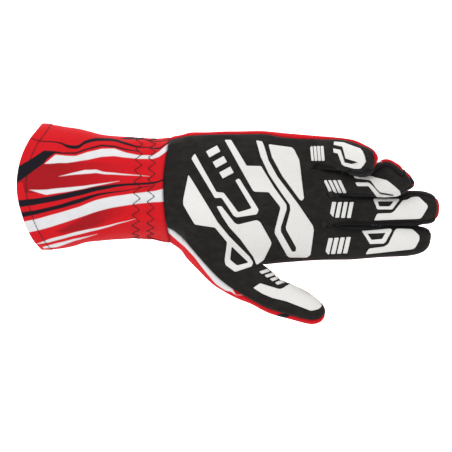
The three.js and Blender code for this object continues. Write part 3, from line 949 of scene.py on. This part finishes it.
cuffPalmBands = [
    # painted shade: these two dark red bands are the shade of the cuff's folds, laid in with the
    # print
    band(darkRed, (27, 179, 14), (60, 177.5, 15), (132, 177, 12), fade=(60, 132)),
    band(darkRed, (58, 231, .5), (72, 228, 4), (96, 219, 7), (126, 210, 4), fade=(96, 128), soft=3),
    streak(white, (45.5, 164.3, 0), (49, 163, 1.3), (56, 159.8, 4.2), (58, 159.5, 4.2),
        (67, 159.8, 3.6), (76.5, 159.1, 2.9), (89.3, 156, 4), (102, 152.9, 4.1),
        (114.8, 152.6, 3.7), (127.6, 155.4, 2.3), (139, 157.5, 1.8), (153, 157.5, 1.8),
        (159.4, 154.1, 2.9), (168.4, 147, 3.3)),
    band(white, (20, 229, 5.8), (24, 228, 5.8), (51, 221.3, 5.8), (76.5, 213.4, 5.4),
        (102, 204.8, 5.7), (127.6, 200, 5.4), (140, 198.4, 5.3), (153, 197, 5.4), (165, 195.3, 6.2),
        (172, 194.5, 6.4)),
    streak(white, (60, 177, 0), (86, 172, 1.9), (97, 171.4, 1.6), (104, 173, 1.1), (150, 176.6, 0)),
    streak(white, (31, 190.3, 0), (48, 192.5, 2.6), (66, 190, 2.2), (86, 187, 1.4), (120, 181, 0)),
    streak(white, (36, 244.4, 0), (50, 240.5, 1.6), (78, 233, 1.6), (110, 226, .8),
        (136, 218.5, 0)),
    streak(white, (44, 247.5, .8), (58, 244.8, 1.9), (76, 239.5, 1), (98, 234, 0)),
    streak(black, (12, 180, 8.2), (17, 176.5, 8), (30, 168.2, 7), (45.5, 157.3, 6.2),
        (48, 155.6, 4.2), (56, 152.7, 1), (64, 153.6, .7), (76.5, 153.1, .8), (83, 151, .9),
        (89.5, 148.7, .8), (102, 145.5, .9), (115, 146.8, .9), (127.6, 150, .7), (140, 152, .4)),
    band(black, (28, 137.8, .4), (39.5, 141.3, .5), (61, 143.6, .8), (69, 146.8, 1.6),
        (76.5, 147.4, 1.7), (86.7, 142.3, 1.7), (102, 139.7, 1.6), (115, 140.4, 1.5),
        (127.6, 144.2, 1.3), (136.5, 146.8, .9), (150, 148, .5), (158, 148.4, .8), (166, 144, .8),
        (172, 141, .5)),
    band(black, (120, 138.2, 0), (131, 138.2, 1.1), (142, 138.6, .7), (151, 141, .6),
        (160, 141.2, .5), (170, 139.5, .3)),
    band(black, (12, 205, 3.9), (18, 204.4, 3.7), (51, 199.4, 2.9), (76.5, 193.8, 2.8),
        (102, 188.1, 2), (121, 185, 1.3), (140, 184, 1.1), (155.6, 182.8, 1), (165, 179.8, .9),
        (172, 178, .9)),
    band(black, (14, 217, 2.7), (20, 215.8, 2.6), (51, 209.3, 2), (76.5, 202, 2.2),
        (102, 194.2, 1.1), (127.6, 190.4, .5), (153, 186.3, .3)),
]

cuffBackBands = [
    # painted shade: this dark red band is the shade of the cuff's fold on this side
    band(darkRed, (30, 172, 6), (80, 175, 9), (150, 178, 8), fade=(90, 150)),
    band(white, (16, 184, 6.5), (60, 186, 6), (120, 190, 5), (172, 191, 4.5)),
    streak(white, (38, 225.5, 0), (60, 225, 2.2), (122, 222, 0)),
    streak(white, (52, 141, 0), (94, 146, 2), (150, 150, 0)),
    band(black, (16, 149, 5.5), (60, 153, 4.2), (120, 158, 3.2), (172, 161, 2.6)),
    band(black, (16, 201, 2.8), (80, 202, 2), (172, 203.5, 1)),
    band(black, (20, 236, 1.8), (80, 234, 1.3), (152, 231, .7)),
]


def makePrintedClothWithShade(name, bands):
    values = printAndShadeValues
    material, tree, shader, point = newMaterial(name, roughness=0.82, specular=0.12, sheen=0.06)
    wander = cloudOver(tree, point, values["warpScale"], 1.0)["Color"]
    wander = vectorMath(tree, "SUBTRACT", wander, (0.5, 0.5, 0.5))[0]
    wander = vectorMath(tree, "SCALE", wander, values["warp"])[0]
    place = vectorMath(tree, "ADD", sheetPoint(tree, point), wander)[0]
    colour = printAndShadeBands(tree, place, values["red"], bands, values["soft"])
    finishKnit(tree, shader, point, colour, values["pitch"])
    return material


# What all the knits have in common

knitValues = {
    "cloudSize": 6 * mm,
    "cloudStrength": 0.16,
    "fuzzSize": 0.5 * mm,
    "fuzzStrength": 0.2,
    # strength of the painted shade and dust in the seams
    "paintedSeamShade": 0.5,
    "relief": 0.12 * mm,
}


def finishKnit(tree, shader, point, colour, pitch, strength=0.35):
    # mottled dye, painted shade and dust in the seams, and the loops of the knit in the relief
    values = knitValues
    dyed = mottle(tree, point, colour, values["cloudSize"], values["cloudStrength"])["Colour"]
    # painted shade and dust near the seams
    shaded = paintSeamShade(tree, dyed, values["paintedSeamShade"])
    loops = useGroup(tree, "knit", {"Point": point, "Pitch": pitch})[0]
    fuzz = mottle(tree, point, shaded, values["fuzzSize"], values["fuzzStrength"])
    height = math2(tree, "ADD", loops, math2(tree, "MULTIPLY", fuzz["Height"], 0.5))
    finish(tree, shader, fuzz["Colour"], height, strength, values["relief"])


cuffPalmCloth = makePrintedClothWithShade("cuffPalmCloth", cuffPalmBands)
cuffBackCloth = makePrintedClothWithShade("cuffBackCloth", cuffBackBands)

# Red stretch cloth of the back, with its pale side stripe

backValues = {
    "red": paint(212, 24, 34),
    "pitch": 0.8 * mm,
    "printHighest": 9 * mm,  # the streaks are only on cloth that lies lower than this
    "printEdge": 1 * mm,
    "stripeLowest": 9 * mm,
    "stripeEdge": 0.8 * mm,
    "stripeSoft": 0.8,
    "patchSoft": 0.3,
    "patches": [  # centre, reach, tone
        ((378, 164, 0), (3, 4.2, 1e5), paint(225, 225, 226)),
        ((411, 180.5, 0), (3.4, 4, 1e5), paint(30, 30, 42)),
        ((283, 315.5, 0), (6.5, 2.2, 1e5), paint(34, 30, 34)),
    ],
}

backBands = [
    streak(white, (164, 192, 4), (200, 188, 3.4), (240, 178, 2), (285, 166, 0)),
    streak(white, (176, 214, 0), (205, 214, 2.2), (292, 192, 0)),
    streak(black, (164, 162, 2.6), (200, 158, 2.4), (240, 152, 1.6), (280, 148, 0)),
    streak(black, (164, 204, 1), (205, 203, 1.6), (296, 182, 0)),
    band(darkRed, (190, 232, 0), (225, 232, 5), (300, 218, 5), fade=(240, 300)),
]

sideStripe = [
    streak(white, (164.1, 219.5, 9), (176.7, 230, 10), (185.1, 237, 10), (194.9, 247.5, 10),
        (200, 254.6, 10), (207, 263.7, 10), (215.4, 273.5, 10), (221, 277.7, 10), (226, 280.7, 10),
        (231, 289, 2.6), (236, 295, 0)),
]


def makeBackCloth():
    values = backValues
    material, tree, shader, point = newMaterial(
        "backCloth", roughness=0.82, specular=0.06, sheen=0.03
    )
    place = sheetPoint(tree, point)
    height = addNode(tree, "ShaderNodeSeparateXYZ", {0: point}).outputs[2]
    below = math2(tree, "SUBTRACT", values["printHighest"], height)
    low = math2(tree, "DIVIDE", below, values["printEdge"], clamp=True)
    printed = printAndShadeBands(tree, place, values["red"], backBands, printAndShadeValues["soft"])
    colour = mixColours(tree, low, values["red"], printed)

    # and the side stripe only on cloth that lies higher
    raised = math2(tree, "SUBTRACT", height, values["stripeLowest"])
    raised = math2(tree, "DIVIDE", raised, values["stripeEdge"], clamp=True)
    striped = printAndShadeBands(tree, place, colour, sideStripe, values["stripeSoft"])
    colour = mixColours(tree, raised, colour, striped)
    for centre, reach, tone in values["patches"]:
        inputs = {"Point": place, "Centre": centre, "Reach": reach, "Soft": values["patchSoft"]}
        colour = mixColours(tree, useGroup(tree, "patch", inputs)[0], colour, tone)
    finishKnit(tree, shader, point, colour, values["pitch"])
    return material


backCloth = makeBackCloth()

# Black suede of the palm

suedeValues = {
    "black": paint(33, 31, 30),
    "worn": paint(46, 44, 42),
    "wornSize": 9 * mm,
    "wornRange": (0.42, 0.72, 0.0, 0.85),  # from and to of the noise, then of the wear
    "brushed": (1.0, 1.9, 1.4),
    "nap": 0.28 * mm,
    "napStrength": 0.5,
    # strength of the painted shade and dust in the seams
    "paintedSeamShade": 0.6,
    "relief": 0.1 * mm,
}


def makeSuede():
    values = suedeValues
    material, tree, shader, point = newMaterial(
        "palmSuede", roughness=0.9, specular=0.14, sheen=0.12, sheenRoughness=0.4
    )
    inputs = {"Vector": point, "Scale": values["brushed"]}
    brushed = addNode(tree, "ShaderNodeMapping", inputs).outputs[0]
    patches = cloudOver(tree, brushed, 1 / values["wornSize"], 4.0, 0.6)[0]
    factor = mapRange(tree, patches, *values["wornRange"])
    colour = mixColours(tree, factor, values["black"], values["worn"])
    nap = mottle(tree, point, colour, values["nap"], values["napStrength"])
    # painted shade and dust near the seams
    shaded = paintSeamShade(tree, nap["Colour"], values["paintedSeamShade"])
    finish(tree, shader, shaded, nap["Height"], 0.5, values["relief"])
    return material


palmSuede = makeSuede()


def makePlainKnit(name, tone, pitch, **look):
    material, tree, shader, point = newMaterial(name, **look)
    finishKnit(tree, shader, point, tone, pitch, strength=0.5)
    return material


sideWallCloth = makePlainKnit(
    "sideWallCloth", paint(30, 29, 31), 0.7 * mm, roughness=0.85, specular=0.12, sheen=0.05
)
liningLook = {"roughness": 0.9, "specular": 0.1}
cuffLining = makePlainKnit("cuffLining", paint(205, 150, 148), 1.1 * mm, **liningLook)
darkLining = makePlainKnit("darkLining", paint(58, 56, 58), 1.1 * mm, **liningLook)

# Off-white silicone of the grip pads

siliconeValues = {
    "white": paint(233, 232, 229),
    "fleck": paint(186, 184, 180),
    "fleckSize": 0.9 * mm,
    "fleckRange": (0.6, 0.78, 0.0, 0.6),  # from and to of the noise, then of the flecks
    "tintSize": 5 * mm,
    "tintStrength": 0.07,
    "roughRange": (0.3, 0.7, 0.42, 0.6),
    "relief": 0.1 * mm,
}


def makeSilicone():
    values = siliconeValues
    material, tree, shader, point = newMaterial("gripSilicone", roughness=0.5, specular=0.3)
    flecks = cloudOver(tree, point, 1 / values["fleckSize"], 2.0, 0.6)[0]
    factor = mapRange(tree, flecks, *values["fleckRange"])
    colour = mixColours(tree, factor, values["white"], values["fleck"])
    tinted = mottle(tree, point, colour, values["tintSize"], values["tintStrength"])
    rough = mapRange(tree, tinted["Height"], *values["roughRange"])
    tree.links.new(rough, shader.inputs["Roughness"])
    finish(tree, shader, tinted["Colour"], flecks, 0.25, values["relief"])
    return material


gripSilicone = makeSilicone()

# Black thread

threadLook = {
    "tone": paint(26, 25, 30),
    "shadeSize": 1.2 * mm,
    "twistScale": 5000.0,
    "relief": 0.1 * mm,
}


def makeThread():
    values = threadLook
    material, tree, shader, point = newMaterial("blackThread", roughness=0.6, specular=0.3)
    twist = cloudOver(tree, point, values["twistScale"], 1.0)[0]
    tinted = mottle(tree, point, values["tone"], values["shadeSize"], 0.5)
    finish(tree, shader, tinted["Colour"], twist, 0.5, values["relief"])
    return material


blackThread = makeThread()
print("finishes made")

# Cloth panels: each part of the skin gets its wall and its lining

clothValues = {
    "wall": 2.4 * mm,  # at the hem, where the cloth lies double
    "thin": 0.6,  # share of it elsewhere
    "drawIn": 0.1 * mm,  # how far a panel's edge stays from its seam
}

clothPanels = [  # node, piece, slot, outside, inside
    ("cuff_palm_side", "cuff_cloth_palm_side", "cuff_knit", cuffPalmCloth, cuffLining),
    ("cuff_back_side", "cuff_cloth_back_side", "cuff_knit", cuffBackCloth, cuffLining),
    ("palm_panel", "palm_suede_panel", "palm_suede", palmSuede, darkLining),
    ("back_panel", "back_cloth_panel", "back_knit", backCloth, darkLining),
]
for fingers in ["index_middle", "middle_ring", "ring_little"]:
    names = ("fourchette_" + fingers, "side_wall_" + fingers, "side_wall_cloth")
    clothPanels.append((*names, sideWallCloth, darkLining))


def drawInEdge(part):
    moves = {}
    for vert in part.verts:
        if vert.is_boundary and vert.link_faces:
            centre = sum((f.calc_center_median() for f in vert.link_faces), Vector((0, 0, 0)))
            inward = centre / len(vert.link_faces) - vert.co
            inward -= vert.normal * inward.dot(vert.normal)
            moves[vert] = inward.normalized() * clothValues["drawIn"]
    for vert, move in moves.items():
        vert.co += move


def makeClothPanel(node, name, slot, outside, inside):
    number = panels.index(node)
    part = skin.copy()
    drop(part, [f for f in part.faces if f.material_index != number])
    for face in part.faces:
        face.material_index = 0
    drawInEdge(part)
    hemMask = part.verts.layers.float["hem"]
    weights = [v[hemMask] for v in part.verts]
    piece = meshPiece(name, part, [outside, inside])
    hem = piece.vertex_groups.new(name="hem")
    for index, weight in enumerate(weights):
        if weight > 0:
            hem.add([index], weight, "REPLACE")
    wall = piece.modifiers.new("wall", "SOLIDIFY")
    wall.thickness = clothValues["wall"]
    wall.offset = -1
    wall.vertex_group = "hem"
    wall.thickness_vertex_group = clothValues["thin"]
    wall.material_offset = 1
    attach(piece, "root")
    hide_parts(node)


for row in clothPanels:
    makeClothPanel(*row)
print("cloth panels made")

# Grip pads: their outlines come from the solids, their surface from the skin below

padValues = {
    "facing": 0.12,  # a solid's top is what looks up more than this
    "straight": math.radians(1.5),
    "tiny": 0.15 * mm,
    "upright": 0.1 * mm,
    "cornerTurn": math.radians(18),
    "corner": {"pad": 1.0 * mm, "bar": 0.5 * mm},
    "cornerSteps": 4,
    "rim": 0.24 * mm,
    "rimSteps": 2,
    "grid": 2.2 * mm,
    "bottom": -0.2 * mm,
    "top": 0.75 * mm,
    "rayStart": 100 * mm,
    "nearHeight": 30 * mm,
    "rayRises": [3 * mm, 6 * mm, 9 * mm],  # the next one is taken where the skin rises higher
}

# corners that are cut off some pads: two points of the cut, and a point on the lost side
cornerCuts = {
    "grip_bar_middle_1": [((329.7, 213.2), (333.9, 217.8), (328, 219))],
    "grip_bar_index_1": [((325.2, 250.6), (329, 255), (324, 256))],
    "grip_bar_little_1": [((309.5, 149), (312.5, 145.8), (309, 144))],
    "grip_tip_little": [((358.9, 149.6), (361.8, 153.2), (364, 150)),
                        ((361.6, 153), (364.8, 161.6), (368, 155)),
                        ((364.8, 161.4), (359.8, 170.2), (368, 168))],
    "grip_bar_ring_1": [((322, 184.5), (327.5, 192.8), (321, 194)),
                        ((322.5, 182.6), (325.4, 179.8), (322, 179))],
}


def padOutline(shape):
    # the rim of the solid's upper side, flattened
    bmesh.ops.remove_doubles(shape, verts=shape.verts, dist=skinValues["weld"])
    drop(shape, [f for f in shape.faces if f.normal.z < padValues["facing"]])
    drop(shape, [e for e in shape.edges if not e.is_boundary], "EDGES")
    drop(shape, [v for v in shape.verts if not v.link_edges], "VERTS")
    bmesh.ops.scale(shape, vec=(1, 1, 0), verts=shape.verts)
    bmesh.ops.remove_doubles(shape, verts=shape.verts, dist=padValues["tiny"])
    bmesh.ops.dissolve_limit(
        shape, angle_limit=padValues["straight"], verts=shape.verts, edges=shape.edges
    )


def cutPlane(shape, place, normal, clear=False):
    everything = shape.verts[:] + shape.edges[:] + shape.faces[:]
    bmesh.ops.bisect_plane(
        shape, geom=everything, plane_co=place, plane_no=normal, clear_outer=clear
    )


def cutCorners(shape, cuts):
    for first, last, lost in cuts:
        start = flatPoint(*first)
        along = flatPoint(*last) - start
        normal = Vector((along.y, -along.x, 0)).normalized()
        if normal.dot(flatPoint(*lost) - start) < 0:
            normal = -normal
        cutPlane(shape, start, normal, clear=True)


def cutGrid(shape, step):
    for axis, normal in enumerate([Vector((1, 0, 0)), Vector((0, 1, 0))]):
        low = min(v.co[axis] for v in shape.verts)
        high = max(v.co[axis] for v in shape.verts)
        for count in range(1, int((high - low) / step) + 1):
            cutPlane(shape, normal * (low + count * step), normal)


def roundEdges(shape, edges, offset, steps):
    bmesh.ops.bevel(
        shape, geom=edges, offset=offset, offset_type="OFFSET", segments=steps, profile=0.5,
        affect="EDGES", clamp_overlap=True, material=-1,
    )


def placeOnSkin(x, y, near):
    # the skin above the solid's top; near is that top's place
    for rise in padValues["rayRises"]:
        place, normal = onSkin(Vector((x, y, near.z + rise)), Vector((0, 0, -1)))
        if place is not None and normal.z > 0:
            return place, normal
    return near, Vector((0, 0, 1))


def makeGripPad(node):
    values = padValues
    shape = bmesh.new()
    shape.from_mesh(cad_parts[node].data)
    solidTree = BVHTree.FromBMesh(shape)
    padOutline(shape)
    bmesh.ops.triangle_fill(shape, use_beauty=True, edges=shape.edges[:])
    cutCorners(shape, cornerCuts.get(node, []))
    faces = shape.faces[:]
    raised = bmesh.ops.extrude_face_region(shape, geom=faces, use_keep_orig=True)["geom"]
    top = [v for v in raised if isinstance(v, bmesh.types.BMVert)]
    bmesh.ops.translate(shape, vec=(0, 0, values["top"]), verts=top)
    bmesh.ops.recalc_face_normals(shape, faces=shape.faces[:])
    upright = [
        e for e in shape.edges
        if abs(e.verts[0].co.z - e.verts[1].co.z) > values["upright"]
        and e.calc_face_angle(0) > values["cornerTurn"]
    ]
    corner = values["corner"]["bar" if "bar" in node else "pad"]
    roundEdges(shape, upright, corner, values["cornerSteps"])
    rim = [
        e for e in shape.edges
        if all(v.co.z > 0.5 * values["top"] for v in e.verts)
        and any(abs(f.normal.z) < 0.5 for f in e.link_faces)
    ]
    roundEdges(shape, rim, values["rim"], values["rimSteps"])
    cutGrid(shape, values["grid"])
    for vert in shape.verts:
        share = vert.co.z / values["top"]
        x, y = vert.co.xy
        near = solidTree.ray_cast(Vector((x, y, values["rayStart"])), Vector((0, 0, -1)))[0]
        if near is None:
            near = solidTree.find_nearest(Vector((x, y, values["nearHeight"])))[0]
        place, normal = placeOnSkin(x, y, near)
        height = values["bottom"] + (values["top"] - values["bottom"]) * share
        vert.co = place + normal * height
    bmesh.ops.recalc_face_normals(shape, faces=shape.faces[:])
    piece = meshPiece(node.replace("grip", "silicone"), shape, [gripSilicone])
    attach(piece, "root")
    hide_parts(node)


gripNodes = [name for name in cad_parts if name.startswith("grip_")]
for name in gripNodes:
    makeGripPad(name)
print("grip pads made:", len(gripNodes))

# Threads: short stitches laid end to end on the skin

hemStitch = {
    "fromHem": 7 * mm,
    "length": 2.4 * mm,
    "gap": 0.25 * mm,
    "radius": 0.28 * mm,
    "samples": 420,
    "attempts": 6,
    "start": -135 * mm,
    "step": 4 * mm,
    "axisV": 188,
    "axisHeight": 19 * mm,
    "lowest": 0.15 * mm,
}


def addStitch(shape, first, last, radius):
    along = last - first
    turn = Vector((0, 0, 1)).rotation_difference(along.normalized()).to_matrix().to_4x4()
    size = Matrix.Diagonal((radius, radius, along.length / 2 + radius * 0.5, 1))
    bmesh.ops.create_uvsphere(
        shape, u_segments=8, v_segments=6, radius=1,
        matrix=Matrix.Translation((first + last) / 2) @ turn @ size,
    )


def directionsRound(samples):
    for count in range(samples + 1):
        angle = 2 * math.pi * count / samples
        yield Vector((0, math.cos(angle), math.sin(angle)))


def axisPoint(x, values):
    # a place inside the cuff from which the skin is looked at
    return Vector((x, fromSheet(0, values["axisV"])[1], values["axisHeight"]))


def ringRound(xAt, values):
    # a ring on the skin, traced from inside it; xAt gives its x for a v of the sheet
    ring = []
    for direction in directionsRound(values["samples"]):
        x = xAt(values["firstV"])
        for attempt in range(values["attempts"]):
            place, normal = onSkin(axisPoint(x, values), direction)
            if place is None:
                break
            x = xAt(toSheet(place)[1])
        if place is not None:
            ring.append((place, normal))
    return ring


def ringLengths(ring):
    lengths = [0]
    for first, last in zip(ring, ring[1:]):
        lengths.append(lengths[-1] + (last[0] - first[0]).length)
    return lengths


def ringAt(ring, lengths, at):
    # the place at a length along the ring, and the skin's normal near it
    index = max(1, next((i for i, length in enumerate(lengths) if length >= at), 1))
    part = (at - lengths[index - 1]) / max(1e-9, lengths[index] - lengths[index - 1])
    return ring[index - 1][0].lerp(ring[index][0], min(1, part)), ring[index][1]


def zigzagThread(number):
    values = zigzagValues
    table = values["rows"][number]
    unit = sheet["unit"]
    ring = ringRound(lambda v: fromSheet(interpolate(table, v), 0)[0], values)
    lengths = ringLengths(ring)
    whole = lengths[-1]
    period = whole / round(whole / (values["period"] * unit))
    # the peak that the sheet marks, on the palm side
    marked = min(
        (index for index, (place, normal) in enumerate(ring) if place.z > values["palmHeight"]),
        key=lambda index: abs(toSheet(ring[index][0])[1] - values["phases"][number]),
    )
    steps = values["stitchesPerLeg"] * 2
    points = []
    for step in range(round(whole / period) * steps + 1):
        share = (step % steps) / steps
        swing = 4 * abs(share - 0.5) - 1  # 1 at a peak towards the fingers
        middle = ringAt(ring, lengths, (step * period / steps + lengths[marked]) % whole)[0]
        reach = swing * values["reach"] * unit
        axis = axisPoint(middle.x + reach, values)
        place, normal = onSkin(axis, (middle + Vector((reach, 0, 0)) - axis).normalized())
        if place is not None:
            place = place + normal * values["lift"]
            place.z = max(place.z, values["lowest"])
            points.append(place)
    shape = bmesh.new()
    for first, last in zip(points, points[1:]):
        addStitch(shape, first, last, values["threadRadius"])
    finishThread("zigzag_thread_" + str(number + 1), shape)


def hemThread():
    values = hemStitch
    hem = mouthTree(skin)
    ring = []
    for direction in directionsRound(values["samples"]):
        x = values["start"]
        for attempt in range(values["attempts"]):
            place, normal = onSkin(axisPoint(x, values), direction)
            if place is None:
                x += values["step"]
                continue
            x += values["fromHem"] - hem.find(place)[2]
        if place is not None:
            ring.append((place, normal))
    lengths = ringLengths(ring)
    pitch = lengths[-1] / round(lengths[-1] / (values["length"] + values["gap"]))
    shape = bmesh.new()
    for number in range(round(lengths[-1] / pitch)):
        ends = []
        for length in (number * pitch, number * pitch + values["length"]):
            place, normal = ringAt(ring, lengths, length)
            place += normal * values["radius"] * 0.5
            place.z = max(place.z, values["lowest"])
            ends.append(place)
        addStitch(shape, *ends, values["radius"])
    finishThread("hem_thread", shape)


def finishThread(name, shape):
    piece = meshPiece(name, shape, [blackThread])
    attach(piece, "root")


for number in range(2):
    zigzagThread(number)
hemThread()
print("threads made")

# Floor and light

stageValues = {
    "floorHeight": -0.2 * mm,
    "floorSize": 2.0,
    "floorTone": (0.95, 0.95, 0.95, 1),
    "floorGlow": 0.5,  # lifts the soft shade round the glove
    "seenGlow": 1.0,  # and keeps the cloth's colour off the floor
    "sky": 0.78,
    "lampPower": 9.0,
    "lampSize": 1.1,
    "lampPlace": (-0.5, 0.7, 1.5),
}


def makeStage():
    values = stageValues
    shape = bmesh.new()
    bmesh.ops.create_grid(shape, x_segments=4, y_segments=4, size=values["floorSize"])
    bmesh.ops.translate(shape, vec=(0, 0, values["floorHeight"]), verts=shape.verts[:])
    material, tree, shader, point = newMaterial("paleFloor", roughness=0.9, specular=0.1)
    shader.inputs["Base Color"].default_value = values["floorTone"]
    shader.inputs["Emission Color"].default_value = (1, 1, 1, 1)
    seen = addNode(tree, "ShaderNodeLightPath").outputs["Is Camera Ray"]
    glow = math2(tree, "ADD", math2(tree, "MULTIPLY", seen, values["seenGlow"]), values["floorGlow"])
    tree.links.new(glow, shader.inputs["Emission Strength"])
    meshPiece("pale_floor", shape, [material])

    world = bpy.data.worlds.new("paleSky")
    world.use_nodes = True
    sky = world.node_tree.nodes["Background"].inputs
    sky["Color"].default_value = (1, 1, 1, 1)
    sky["Strength"].default_value = values["sky"]
    bpy.context.scene.world = world

    lamp = bpy.data.lights.new("softLamp", "AREA")
    lamp.energy = values["lampPower"]
    lamp.size = values["lampSize"]
    holder = addToScene(bpy.data.objects.new("soft_lamp", lamp))
    holder.location = values["lampPlace"]
    holder.rotation_euler = Vector(values["lampPlace"]).to_track_quat("Z", "Y").to_euler()
    bpy.context.scene.view_settings.view_transform = "Standard"


makeStage()
print("stage made")

skin.free()
